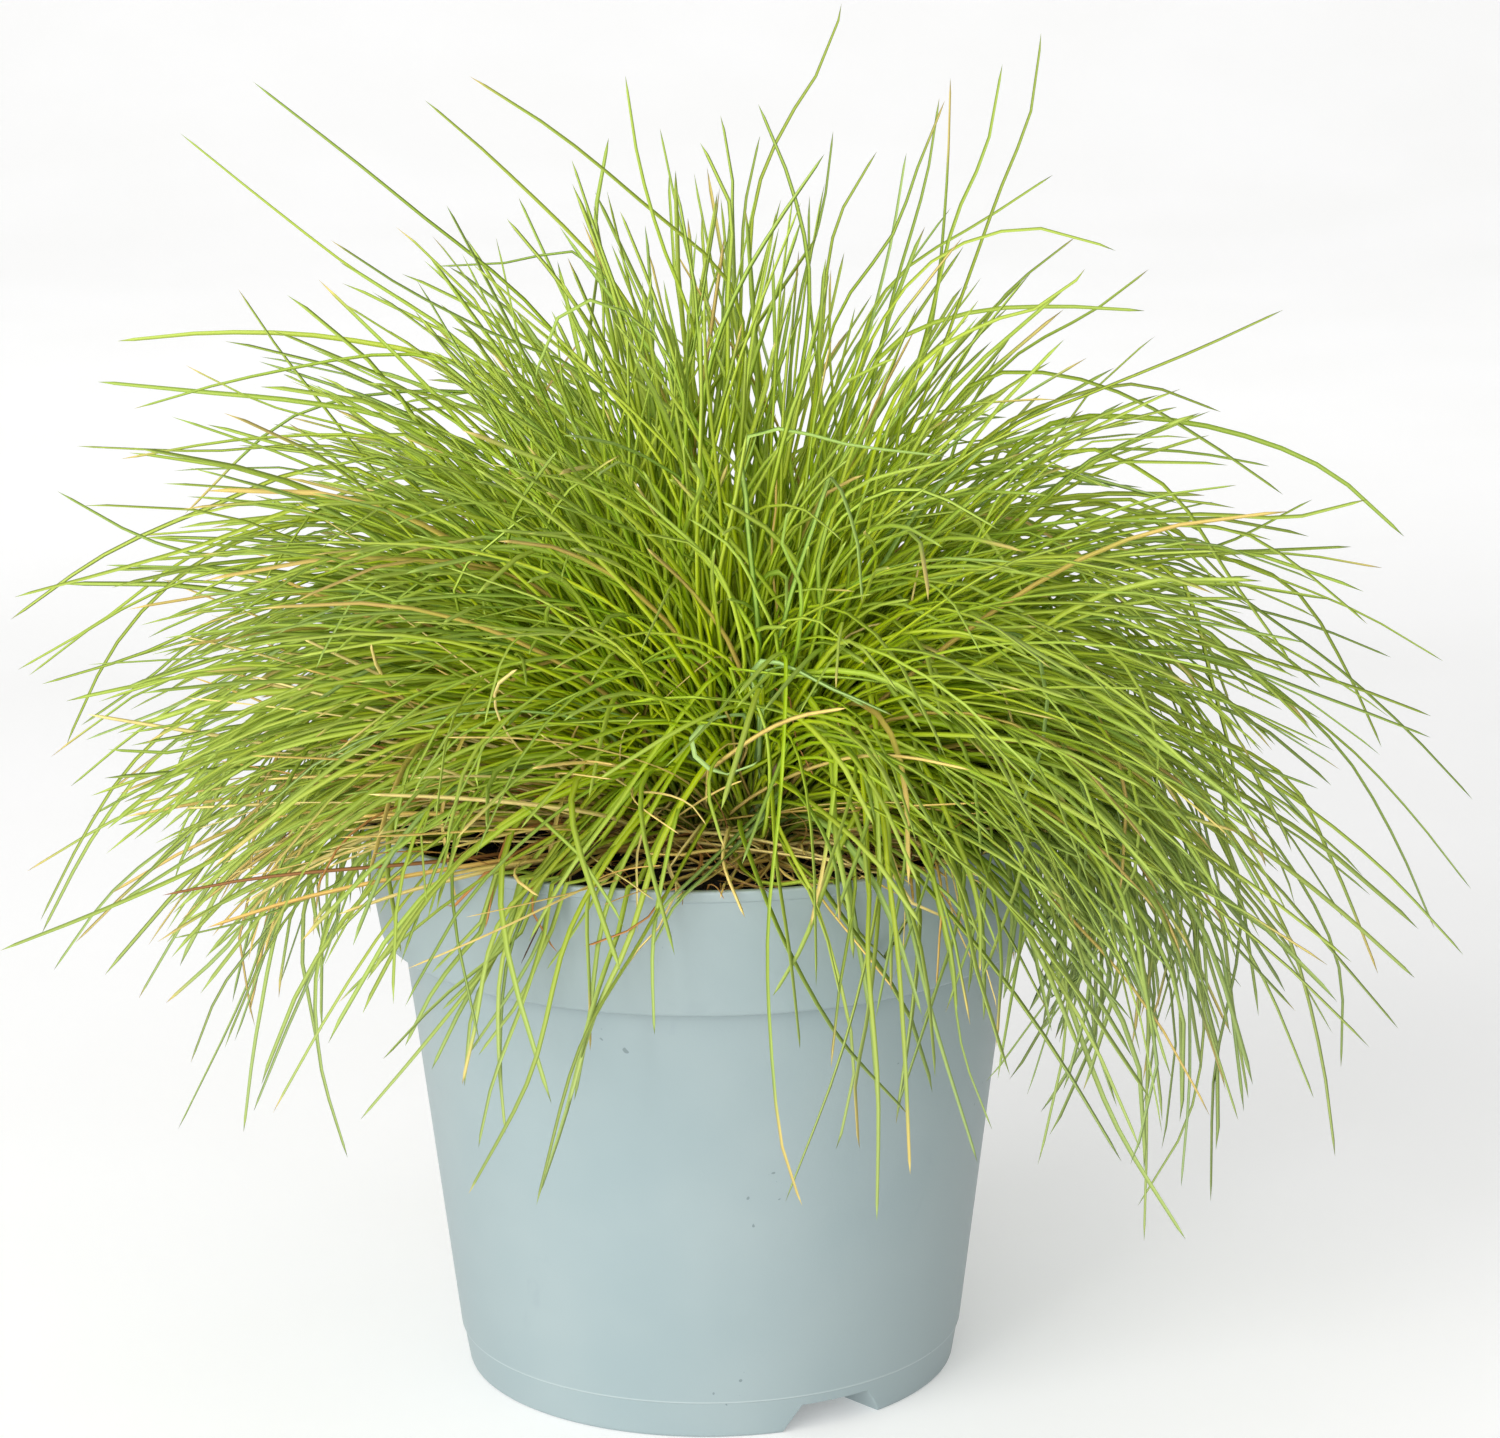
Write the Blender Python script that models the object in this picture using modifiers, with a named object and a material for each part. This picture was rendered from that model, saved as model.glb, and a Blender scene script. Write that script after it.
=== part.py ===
"""A blue fescue clump in a round nursery pot.

The pot stands on the plane z = 0 with its axis on z. The front of the pot faces -Y and +X is to the
right. Every size is in metres. Bearings are turned from the front towards +X.
"""

import math

import bpy
import bmesh
from mathutils import Vector, noise

GAP = 0.0003  # clearance between pieces that touch

# Pot
POT_HEIGHT = 0.1176
RIM_RADIUS = 0.0701
COLLAR_TOP_RADIUS = 0.0697
COLLAR_FOOT_RADIUS = 0.0658
COLLAR_DEPTH = 0.0258
LIP_DEPTH = 0.0022
LIP_WIDTH = 0.0018
BODY_TOP_RADIUS = 0.0615
MOULD_LINE_HEIGHT = 0.0079
MOULD_LINE_RADIUS = 0.0513
MOULD_LINE_STEP = 0.00025
FOOT_RADIUS = 0.0497
FOOT_INNER_RADIUS = 0.038
FLOOR_RISE = 0.0060  # how far the middle of the floor stands above the ground
WALL = 0.0012
EDGE = 0.0008  # size of the rounded outer edges
POT_SIDES = 42

# Drain notches and drain holes
NOTCH_BEARINGS = (29.2, 209.2)
NOTCH_HEIGHT = 0.0056
NOTCH_HALF_ANGLE_LOW = 12.8
NOTCH_HALF_ANGLE_HIGH = 8.7
NOTCH_STEPS = 4
DRAIN_HOLES = 5
DRAIN_HOLE_RADIUS = 0.004
DRAIN_CIRCLE_RADIUS = 0.024
DRAIN_FIRST_BEARING = 11

# Soil
SOIL_TOP = 0.1110
SOIL_SIDES = 24
SOIL_LUMP = 0.0014
SOIL_LUMP_SIZE = 0.016
SOIL_RING_SHARES = (0, 0.2, 0.4, 0.58, 0.74, 0.88, 1)  # rings of points across the soil's surface
SOIL_LEVEL_RADIUS = 0.030  # level this far round the crown, so that it stands flat
SOIL_LEVEL_BLEND = 0.010
SOIL_EDGE_RADIUS = 0.066
SOIL_EDGE_BLEND = 0.006

# Crown: the cap of a sphere that stands on the soil
CROWN_X = 0.005
CROWN_Y = -0.004
CROWN_SPHERE_RADIUS = 0.030
CROWN_HEIGHT = 0.016
CROWN_CLEARANCE = 0.0005  # from the crown's surface to the foot of a leaf

# Foliage
GOLDEN_ANGLE = math.radians(137.508)
HEART = Vector((0.0, 0.0, 0.120))  # the middle of the ball that the blade tips reach
REACH = 0.150
TUFTS = 34
TIP_ANGLE_MAX = math.radians(124)
ROOT_LEAN_SHARE = 0.42  # a tuft leaves the crown at this share of its tip's angle
ARCH = 0.60  # how far a blade runs on before it bends, as a share of its span
BLADE_STEPS = 8
SIDE_STEPS = 7
LOW_FROM = math.radians(92)  # leaves whose tips hang lower than this arch higher to clear the lip
LOW_OVER = math.radians(28)
LOW_ARCH = 0.10
FRONT_DRAWN_BY = 0.22  # and those in front hang closer to the pot
TUFT_RADIUS = 0.0026
BLADE_RADIUS = 0.0013
SIDE_BLADE_RADIUS = 0.0011
SIDE_FORK = 0.35  # where a side blade leaves the main one, as a share of its first step
MAIN_REACH = 0.96
SIDE_REACHES = {-1: 0.80, 1: 0.88}
SIDE_SPREAD = math.radians(10)
SIDE_LEAN_SHARE = 0.3
SIDE_TIP_SHARE = 0.6
LEAST_TIP_SINE = 0.35  # side leaves of an upright tuft turn no further than this allows
ROOT_SWELL = 4  # a leaf's swollen foot fades out over its first quarter

# Long single blades: bearing in degrees, reach from the pot's axis and tip height, both in metres
LONG_BLADES = (
    (100, 0.032, 0.2750),
    (76, 0.078, 0.2690),
    (249, 0.103, 0.2620),
    (285, 0.118, 0.2450),
    (83, 0.1510, 0.1180),
    (272, 0.1500, 0.1000),
    (188, 0.1510, 0.1450),
    (2, 0.1500, 0.1550),
    (118, 0.138, 0.2050),
    (228, 0.138, 0.1880),
    (64, 0.120, 0.0350),
    (293, 0.118, 0.0460),
)
LONG_BLADE_RADIUS = 0.0012

# Dead straw that lies on the soil and over the lip: bearing in degrees and reach in metres
STRAWS = ((18, 0.083), (52, 0.088), (106, 0.092), (256, 0.092), (302, 0.088), (340, 0.084))
STRAW_RADIUS = 0.0010
STRAW_DROP = 0.016
STRAW_ROOT_RADIUS = 0.031  # a straw starts this far out, at the foot of the crown
STRAW_ROOT_HEIGHT = 0.003
STRAW_LEAN = math.radians(47)
STRAW_ARCH = 0.80

TIP_RADIUS = 0.00022

POT_COLOUR = (0.50, 0.60, 0.62)
SOIL_COLOUR = (0.018, 0.011, 0.008)
CROWN_COLOUR = (0.30, 0.26, 0.11)
LEAF_COLOURS = ((0.28, 0.42, 0.07), (0.20, 0.34, 0.06), (0.20, 0.33, 0.14))
STRAW_COLOUR = (0.55, 0.36, 0.17)


def clear_scene():
    for old in list(bpy.data.objects):
        bpy.data.objects.remove(old, do_unlink=True)


def collection(name, hidden=False):
    made = bpy.data.collections.new(name)
    bpy.context.scene.collection.children.link(made)
    made.hide_render = hidden
    return made


def material(name, colour, roughness):
    made = bpy.data.materials.new(name)
    made.use_nodes = True
    shader = made.node_tree.nodes["Principled BSDF"]
    shader.inputs["Base Color"].default_value = (*colour, 1)
    shader.inputs["Roughness"].default_value = roughness
    shader.inputs["Metallic"].default_value = 0
    made.diffuse_color = (*colour, 1)
    return made


def add_object(name, data, group, look=None):
    made = bpy.data.objects.new(name, data)
    group.objects.link(made)
    if look:
        data.materials.append(look)
    return made


def add_helper(name, data):
    made = add_object(name, data, helpers)
    made.hide_render = True
    made.display_type = "WIRE"
    return made


def join_or_cut(target, operation, tool):
    change = target.modifiers.new(f"{operation.lower()} {tool.name}", "BOOLEAN")
    change.operation = operation
    change.solver = "EXACT"
    change.object = tool


def turned(name, profile, sides, group, look):
    """A closed turned body from a profile of (radius, height) points, the first and last on the axis."""
    mesh = bpy.data.meshes.new(name)
    mesh.from_pydata([(r, 0, z) for r, z in profile], [(i, i + 1) for i in range(len(profile) - 1)], [])
    body = add_object(name, mesh, group, look)
    screw = body.modifiers.new("turn", "SCREW")
    screw.steps = sides
    screw.render_steps = sides
    screw.use_merge_vertices = True
    screw.merge_threshold = 0.00005
    screw.use_smooth_shade = True
    return body


def as_mesh(body):
    """The body as it stands after its modifiers, as a plain mesh with its doubled points joined."""
    graph = bpy.context.evaluated_depsgraph_get()
    mesh = bpy.data.meshes.new_from_object(body.evaluated_get(graph))
    shape = bmesh.new()
    shape.from_mesh(mesh)
    bmesh.ops.remove_doubles(shape, verts=shape.verts, dist=0.00001)
    bmesh.ops.recalc_face_normals(shape, faces=shape.faces)
    shape.to_mesh(mesh)
    shape.free()
    mesh.name = body.name
    return mesh


def shade_round(mesh, angle=35):
    mesh.shade_smooth()
    mesh.set_sharp_from_angle(angle=math.radians(angle))


def heading(bearing):
    """The unit vector that points away from the pot's axis at a bearing in radians."""
    return Vector((math.sin(bearing), -math.cos(bearing), 0))


def notch_block(name, bearing, inner, outer, low, high, margin=0.0):
    """A block between two radii whose slanted ends face along the ring, for a drain notch."""
    grow_low = math.degrees(margin / FOOT_RADIUS)
    half_low = NOTCH_HALF_ANGLE_LOW + grow_low
    half_high = NOTCH_HALF_ANGLE_HIGH + grow_low
    shape = bmesh.new()
    sections = []
    for step in range(NOTCH_STEPS + 1):
        along = 2 * step / NOTCH_STEPS - 1
        corners = []
        for radius, height, half in (
            (inner, low, half_low),
            (outer, low, half_low),
            (outer, high, half_high),
            (inner, high, half_high),
        ):
            place = heading(math.radians(bearing + along * half)) * radius
            corners.append(shape.verts.new((place.x, place.y, height)))
        sections.append(corners)
    for first, second in zip(sections, sections[1:]):
        for k in range(4):
            shape.faces.new((first[k], first[(k + 1) % 4], second[(k + 1) % 4], second[k]))
    shape.faces.new(sections[0])
    shape.faces.new(reversed(sections[-1]))
    bmesh.ops.triangulate(shape, faces=shape.faces)
    bmesh.ops.recalc_face_normals(shape, faces=shape.faces)
    mesh = bpy.data.meshes.new(name)
    shape.to_mesh(mesh)
    shape.free()
    return add_helper(name, mesh)


def drain_hole(name, place):
    shape = bmesh.new()
    bmesh.ops.create_cone(
        shape, cap_ends=True, segments=12, radius1=DRAIN_HOLE_RADIUS, radius2=DRAIN_HOLE_RADIUS, depth=0.02
    )
    mesh = bpy.data.meshes.new(name)
    shape.to_mesh(mesh)
    shape.free()
    made = add_helper(name, mesh)
    made.location = (place.x, place.y, FLOOR_RISE)
    return made


def make_pot():
    """The moulded pot: lip, tapered collar, tapered wall, mould line, foot ring and raised floor."""
    collar_foot = POT_HEIGHT - COLLAR_DEPTH
    lip_foot = POT_HEIGHT - LIP_DEPTH
    wall_slope = (BODY_TOP_RADIUS - MOULD_LINE_RADIUS) / (collar_foot - MOULD_LINE_HEIGHT)
    line_low_radius = MOULD_LINE_RADIUS - MOULD_LINE_STEP
    profile = [
        (0, FLOOR_RISE + WALL),
        (FOOT_INNER_RADIUS - WALL, FLOOR_RISE + WALL),
        (FOOT_INNER_RADIUS + WALL, WALL),
        (FOOT_RADIUS - WALL, WALL),
        (BODY_TOP_RADIUS - WALL, collar_foot + WALL * wall_slope),
        (COLLAR_FOOT_RADIUS - WALL, collar_foot + WALL),
        (RIM_RADIUS - LIP_WIDTH, lip_foot),
        (RIM_RADIUS - LIP_WIDTH, POT_HEIGHT - EDGE / 3),
        (RIM_RADIUS - LIP_WIDTH + EDGE / 3, POT_HEIGHT),
        (RIM_RADIUS - EDGE / 2, POT_HEIGHT),
        (RIM_RADIUS, POT_HEIGHT - EDGE / 2),
        (RIM_RADIUS, lip_foot),
        (COLLAR_TOP_RADIUS - EDGE / 4, lip_foot - EDGE / 4),
        (COLLAR_FOOT_RADIUS, collar_foot + EDGE),
        (COLLAR_FOOT_RADIUS - EDGE, collar_foot),
        (BODY_TOP_RADIUS, collar_foot),
        (MOULD_LINE_RADIUS, MOULD_LINE_HEIGHT),
        (line_low_radius, MOULD_LINE_HEIGHT - MOULD_LINE_STEP),
        (FOOT_RADIUS, EDGE),
        (FOOT_RADIUS - EDGE, 0),
        (FOOT_INNER_RADIUS + EDGE, 0),
        (FOOT_INNER_RADIUS - EDGE, FLOOR_RISE),
        (0, FLOOR_RISE),
    ]
    pot = turned("pot", profile, POT_SIDES, parts, material("pot_plastic", POT_COLOUR, 0.45))
    for number, bearing in enumerate(NOTCH_BEARINGS, 1):
        tunnel = notch_block(
            f"notch_tunnel_{number}",
            bearing,
            FOOT_INNER_RADIUS - 2 * WALL,
            FOOT_RADIUS - WALL / 2,
            WALL / 2,
            FLOOR_RISE + WALL + GAP,
            margin=WALL,
        )
        channel = notch_block(
            f"notch_channel_{number}",
            bearing,
            FOOT_INNER_RADIUS - 4 * WALL,
            FOOT_RADIUS + 4 * WALL,
            -WALL,
            NOTCH_HEIGHT,
        )
        join_or_cut(pot, "UNION", tunnel)
        join_or_cut(pot, "DIFFERENCE", channel)
    for number in range(DRAIN_HOLES):
        turn = math.radians(DRAIN_FIRST_BEARING) + math.tau * number / DRAIN_HOLES
        place = heading(turn) * DRAIN_CIRCLE_RADIUS
        join_or_cut(pot, "DIFFERENCE", drain_hole(f"drain_hole_{number + 1}", place))
    pot.data.shade_smooth()
    return pot


def soil_height(x, y):
    """The height of the lumpy soil surface, which is level under the crown and along the wall."""
    from_crown = math.hypot(x - CROWN_X, y - CROWN_Y)
    from_axis = math.hypot(x, y)
    clear_of_crown = min(1, max(0, (from_crown - SOIL_LEVEL_RADIUS) / SOIL_LEVEL_BLEND))
    clear_of_wall = min(1, max(0, (SOIL_EDGE_RADIUS - from_axis) / SOIL_EDGE_BLEND))
    lump = noise.noise(Vector((x, y, 0)) / SOIL_LUMP_SIZE)
    return SOIL_TOP + SOIL_LUMP * lump * clear_of_crown * clear_of_wall


def make_soil():
    """The peat root ball, which fills the pot up to a little below its lip."""
    collar_foot = POT_HEIGHT - COLLAR_DEPTH
    inset = WALL + GAP
    collar_slope = (COLLAR_TOP_RADIUS - COLLAR_FOOT_RADIUS) / (COLLAR_DEPTH - LIP_DEPTH)
    top_radius = COLLAR_FOOT_RADIUS - WALL - GAP + collar_slope * (SOIL_TOP - collar_foot - WALL)
    top_rings = [(share * top_radius, SOIL_TOP) for share in SOIL_RING_SHARES]
    profile = top_rings + [
        (COLLAR_FOOT_RADIUS - inset, collar_foot + WALL + GAP),
        (BODY_TOP_RADIUS - inset - GAP, collar_foot + WALL + GAP),
        (FOOT_RADIUS - inset - GAP, WALL + 2 * GAP),
        (FOOT_INNER_RADIUS + WALL + 2 * GAP, WALL + 2 * GAP),
        (FOOT_INNER_RADIUS - WALL + 2 * GAP, FLOOR_RISE + WALL + GAP),
        (0, FLOOR_RISE + WALL + GAP),
    ]
    blank = turned("soil", profile, SOIL_SIDES, parts, material("peat", SOIL_COLOUR, 0.95))
    mesh = as_mesh(blank)
    for point in mesh.vertices:
        if point.co.z > SOIL_TOP - GAP:
            point.co.z = soil_height(point.co.x, point.co.y)
    bpy.data.objects.remove(blank)
    shade_round(mesh, 50)
    soil = add_object("soil", mesh, parts)
    for number, bearing in enumerate(NOTCH_BEARINGS, 1):
        room = notch_block(
            f"notch_room_{number}",
            bearing,
            FOOT_INNER_RADIUS - 3 * WALL,
            FOOT_RADIUS + WALL,
            -WALL,
            FLOOR_RISE + WALL + 2 * GAP,
            margin=2 * WALL,
        )
        join_or_cut(soil, "DIFFERENCE", room)
    return soil


def make_crown():
    """The clump of tiller bases, as a low cap that stands on the soil."""
    shape = bmesh.new()
    bmesh.ops.create_uvsphere(shape, u_segments=16, v_segments=14, radius=CROWN_SPHERE_RADIUS)
    floor = CROWN_SPHERE_RADIUS - CROWN_HEIGHT
    cut = bmesh.ops.bisect_plane(
        shape,
        geom=shape.verts[:] + shape.edges[:] + shape.faces[:],
        plane_co=(0, 0, floor),
        plane_no=(0, 0, -1),
        clear_outer=True,
    )
    bmesh.ops.edgeloop_fill(shape, edges=[e for e in cut["geom_cut"] if isinstance(e, bmesh.types.BMEdge)])
    bmesh.ops.recalc_face_normals(shape, faces=shape.faces)
    bmesh.ops.translate(shape, verts=shape.verts, vec=(0, 0, -floor))
    mesh = bpy.data.meshes.new("crown")
    shape.to_mesh(mesh)
    shape.free()
    shade_round(mesh)
    crown = add_object("crown", mesh, parts, material("crown_sheaths", CROWN_COLOUR, 0.8))
    crown.location = (CROWN_X, CROWN_Y, SOIL_TOP + GAP)
    return crown


def crown_root(bearing, lean):
    """A point just off the crown's surface where its slope faces the given way."""
    middle = Vector((CROWN_X, CROWN_Y, SOIL_TOP + GAP - CROWN_SPHERE_RADIUS + CROWN_HEIGHT))
    return middle + leaning(bearing, lean) * (CROWN_SPHERE_RADIUS + CROWN_CLEARANCE)


def leaning(bearing, lean):
    """The unit vector that leans from the upright by an angle, towards a bearing."""
    return heading(bearing) * math.sin(lean) + Vector((0, 0, math.cos(lean)))


def arch_points(start, direction, tip, arch, steps=BLADE_STEPS):
    """Points of the arc of a leaf that leaves its root one way and bends over to its tip."""
    knee = start + direction * (tip - start).length * arch
    points = []
    for step in range(steps + 1):
        t = step / steps
        points.append(start * (1 - t) ** 2 + knee * (2 * t * (1 - t)) + tip * t**2)
    return points


def blade_profile():
    """The folded leaf's three-cornered section, a keel and two margins."""
    outline = bpy.data.curves.new("blade_section", "CURVE")
    outline.dimensions = "2D"
    line = outline.splines.new("POLY")
    line.points.add(2)
    for k, point in enumerate(line.points):
        angle = math.tau * k / 3
        point.co = (math.cos(angle), math.sin(angle), 0, 1)
    line.use_cyclic_u = True
    section = add_helper("blade_section", outline)
    return section


def blade_mesh(name, points, root_radius, blade_radius):
    """A leaf along the points: its section swells at the root and draws out to a fine tip."""
    curve = bpy.data.curves.new(name, "CURVE")
    curve.dimensions = "3D"
    curve.bevel_mode = "OBJECT"
    curve.bevel_object = section
    curve.use_fill_caps = True
    line = curve.splines.new("POLY")
    line.points.add(len(points) - 1)
    for k, (knot, place) in enumerate(zip(line.points, points)):
        along = k / (len(points) - 1)
        swell = (root_radius - blade_radius) * max(0, 1 - along * ROOT_SWELL)
        knot.co = (*place, 1)
        knot.radius = TIP_RADIUS + (blade_radius - TIP_RADIUS) * (1 - along**2) + swell
    guide = add_object(name, curve, helpers)
    bpy.context.view_layer.update()
    mesh = as_mesh(guide)
    bpy.data.objects.remove(guide)
    return mesh


def lowness(tip_angle):
    return min(1, max(0, (tip_angle - LOW_FROM) / LOW_OVER))


def tip_place(bearing, tip_angle, reach):
    """A place on the ball of tips, which is drawn in where the leaves hang close to the front of the pot."""
    drawn = FRONT_DRAWN_BY * lowness(tip_angle) * max(0, math.cos(bearing)) ** 2
    return HEART + leaning(bearing, tip_angle) * reach * (1 - drawn)


def make_tuft(number, look):
    """A tuft: one leaf that runs all the way, with a shorter one fused to each side of it."""
    share = (number + 0.5) / TUFTS
    bearing = number * GOLDEN_ANGLE
    tip_angle = math.acos(1 - share * (1 - math.cos(TIP_ANGLE_MAX)))
    lean = tip_angle * ROOT_LEAN_SHARE
    start = crown_root(bearing, lean)
    arch = ARCH + LOW_ARCH * lowness(tip_angle)
    main = arch_points(start, leaning(bearing, lean), tip_place(bearing, tip_angle, REACH * MAIN_REACH), arch)
    name = f"tuft_{number + 1:02d}"
    tuft = add_object(name, blade_mesh(name, main, TUFT_RADIUS, BLADE_RADIUS), parts, look)
    for side in (-1, 1):
        fork = main[0].lerp(main[1], SIDE_FORK)
        side_bearing = bearing + side * SIDE_SPREAD / max(LEAST_TIP_SINE, math.sin(tip_angle))
        side_lean = lean + side * SIDE_SPREAD * SIDE_LEAN_SHARE
        tip = tip_place(side_bearing, tip_angle - side * SIDE_SPREAD * SIDE_TIP_SHARE, REACH * SIDE_REACHES[side])
        path = arch_points(fork, leaning(side_bearing, side_lean), tip, arch, SIDE_STEPS)
        side_name = f"{name}_side_{side}"
        branch = add_helper(side_name, blade_mesh(side_name, path, BLADE_RADIUS, SIDE_BLADE_RADIUS))
        join_or_cut(tuft, "UNION", branch)
    return tuft


def make_long_blade(number, bearing, reach, height, look):
    """One long blade whose tip stands out of the clump."""
    turn = math.radians(bearing)
    tip = heading(turn) * reach + Vector((0, 0, height))
    toward = tip - HEART
    tip_angle = math.acos(toward.z / toward.length)
    lean = tip_angle * ROOT_LEAN_SHARE
    start = crown_root(turn, lean)
    name = f"long_blade_{number:02d}"
    points = arch_points(start, leaning(turn, lean), tip, ARCH + LOW_ARCH * lowness(tip_angle))
    return add_object(name, blade_mesh(name, points, LONG_BLADE_RADIUS, LONG_BLADE_RADIUS), parts, look)


def make_straw(number, bearing, reach, look):
    """One dead blade, from the foot of the crown over the soil and the lip."""
    turn = math.radians(bearing)
    foot = Vector((CROWN_X, CROWN_Y, SOIL_TOP + STRAW_ROOT_HEIGHT))
    start = foot + heading(turn) * STRAW_ROOT_RADIUS
    tip = heading(turn) * reach + Vector((0, 0, POT_HEIGHT - STRAW_DROP))
    name = f"dead_straw_{number}"
    points = arch_points(start, leaning(turn, STRAW_LEAN), tip, STRAW_ARCH)
    return add_object(name, blade_mesh(name, points, STRAW_RADIUS, STRAW_RADIUS), parts, look)


clear_scene()
parts = collection("potted_blue_fescue")
helpers = collection("cutters_and_guides", hidden=True)
section = blade_profile()
make_pot()
make_soil()
make_crown()
leaf_looks = [material(f"leaf_{k + 1}", colour, 0.5) for k, colour in enumerate(LEAF_COLOURS)]
for tuft_number in range(TUFTS):
    make_tuft(tuft_number, leaf_looks[tuft_number % len(leaf_looks)])
for blade_number, (blade_bearing, blade_reach, blade_height) in enumerate(LONG_BLADES, 1):
    look = leaf_looks[blade_number % len(leaf_looks)]
    make_long_blade(blade_number, blade_bearing, blade_reach, blade_height, look)
straw_look = material("straw", STRAW_COLOUR, 0.7)
for straw_number, (straw_bearing, straw_reach) in enumerate(STRAWS, 1):
    make_straw(straw_number, straw_bearing, straw_reach, straw_look)
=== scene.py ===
import math

import bpy
import numpy as np
from mathutils import Euler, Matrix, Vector


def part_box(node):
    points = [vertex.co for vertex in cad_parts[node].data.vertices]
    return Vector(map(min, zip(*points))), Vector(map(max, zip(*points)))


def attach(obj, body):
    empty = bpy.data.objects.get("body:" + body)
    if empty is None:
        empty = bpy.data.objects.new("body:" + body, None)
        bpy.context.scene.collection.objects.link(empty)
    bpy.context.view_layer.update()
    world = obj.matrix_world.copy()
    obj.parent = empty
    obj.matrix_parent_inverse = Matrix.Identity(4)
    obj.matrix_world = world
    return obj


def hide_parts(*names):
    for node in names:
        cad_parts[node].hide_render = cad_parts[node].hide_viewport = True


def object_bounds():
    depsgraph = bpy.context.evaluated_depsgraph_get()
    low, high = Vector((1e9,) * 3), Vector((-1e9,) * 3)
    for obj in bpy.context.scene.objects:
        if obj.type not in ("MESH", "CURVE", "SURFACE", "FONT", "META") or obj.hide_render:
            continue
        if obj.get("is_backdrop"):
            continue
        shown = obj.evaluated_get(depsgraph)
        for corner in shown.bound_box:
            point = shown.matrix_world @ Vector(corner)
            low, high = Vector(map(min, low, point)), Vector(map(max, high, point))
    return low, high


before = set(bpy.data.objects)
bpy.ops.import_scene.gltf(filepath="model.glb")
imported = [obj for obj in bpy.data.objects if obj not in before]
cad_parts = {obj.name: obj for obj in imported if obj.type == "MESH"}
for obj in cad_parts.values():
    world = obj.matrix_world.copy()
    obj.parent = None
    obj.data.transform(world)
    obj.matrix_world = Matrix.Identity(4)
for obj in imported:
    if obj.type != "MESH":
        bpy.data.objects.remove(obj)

cad_low, cad_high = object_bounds()
scene = bpy.context.scene

# -----------------------------------------------------------------------------
# Nursery pot: one injection moulding in duck-egg blue plastic with a satin skin. It has a thin lip,
# a deep collar, a tapered wall, a fine mould line above the foot, and a broad foot ring with two
# drain notches; five drain holes go through its floor.
MM = 0.001
NEAR = 0.01 * MM
POT_SEGMENTS = 168
LIP_RADIUS = 70.1 * MM
LIP_TOP = 117.6 * MM
COLLAR_FOOT = 91.8 * MM
COLLAR_FOOT_RADIUS = 65.8 * MM
WALL_TOP_RADIUS = 61.5 * MM
WALL_FOOT_RADIUS = 51.0 * MM
MOULD_LINE = 7.9 * MM
FOOT_TOP = MOULD_LINE - 0.3 * MM
FOOT_RADIUS = 49.7 * MM
FOOT_OUTSIDE_FROM = 48.5 * MM
FOOT_INNER_RADIUS = 38.0 * MM
FLOOR_UNDERSIDE = 6.8 * MM
FLOOR_TOP = 8.0 * MM
RING_SPACING = 9.0 * MM
CORNER_RING = 0.6 * MM
LONG_STRAIGHT = 4 * MM
NOTCH_BEARINGS = (29.2, 209.2)
NOTCH_HEIGHT = 5.6 * MM
NOTCH_STEPS_LOW = 6
NOTCH_STEPS_HIGH = 4
DRAIN_HOLES = 5
DRAIN_HOLE_RADIUS = 4.0 * MM
DRAIN_CIRCLE_RADIUS = 24.0 * MM
FIRST_DRAIN_BEARING = 11
DRILL_LENGTH = 12 * MM
DRILL_SIDES = 32

# Each corner of the wall's section is a radius, a height and how far it is rounded, from the
# floor's underside out over the foot, up the outside, over the lip and down the inside.
pot_corners = [
    (FOOT_INNER_RADIUS, FLOOR_UNDERSIDE, 0.0),
    (FOOT_INNER_RADIUS, 0.0, 0.5 * MM),
    (FOOT_RADIUS, 0.0, 0.7 * MM),
    (WALL_FOOT_RADIUS, FOOT_TOP, 0.0),
    (51.35 * MM, MOULD_LINE, 0.08 * MM),
    (WALL_TOP_RADIUS, COLLAR_FOOT, 0.5 * MM),
    (COLLAR_FOOT_RADIUS, COLLAR_FOOT, 0.6 * MM),
    (69.7 * MM, 115.3 * MM, 0.15 * MM),
    (LIP_RADIUS, 115.6 * MM, 0.2 * MM),
    (LIP_RADIUS, LIP_TOP, 0.5 * MM),
    (68.3 * MM, LIP_TOP, 0.6 * MM),
    (64.6 * MM, 93.4 * MM, 0.5 * MM),
    (60.3 * MM, 91.2 * MM, 0.5 * MM),
    (50.2 * MM, FLOOR_TOP, 0.0),
]


def rounded(corners):
    """The section's points: a short curve at each corner and evenly spaced ones on the straights,
    with one close to each end of a long straight, which keeps its shading flat."""
    points = [Vector(corners[0][:2])]
    for index in range(1, len(corners)):
        corner = Vector(corners[index][:2])
        rounding = corners[index][2]
        back = (Vector(corners[index - 1][:2]) - corner).normalized()
        start = corner + back * rounding
        run = (start - points[-1]).length
        pieces = max(1, math.ceil(run / RING_SPACING))
        if run > LONG_STRAIGHT:
            points.append(points[-1].lerp(start, CORNER_RING / run))
            points += [points[-1].lerp(start, step / pieces) for step in range(1, pieces)]
            points.append(start.lerp(points[-1], CORNER_RING / (start - points[-1]).length))
        points.append(start)
        if rounding:
            ahead = (Vector(corners[index + 1][:2]) - corner).normalized()
            end = corner + ahead * rounding
            points += [
                start.lerp(corner, share).lerp(corner.lerp(end, share), share)
                for share in (0.33, 0.67, 1.0)
            ]
    return points


def deselect():
    """Selects nothing, so that the next operator acts on its own object alone."""
    bpy.ops.object.select_all(action="DESELECT")


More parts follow.
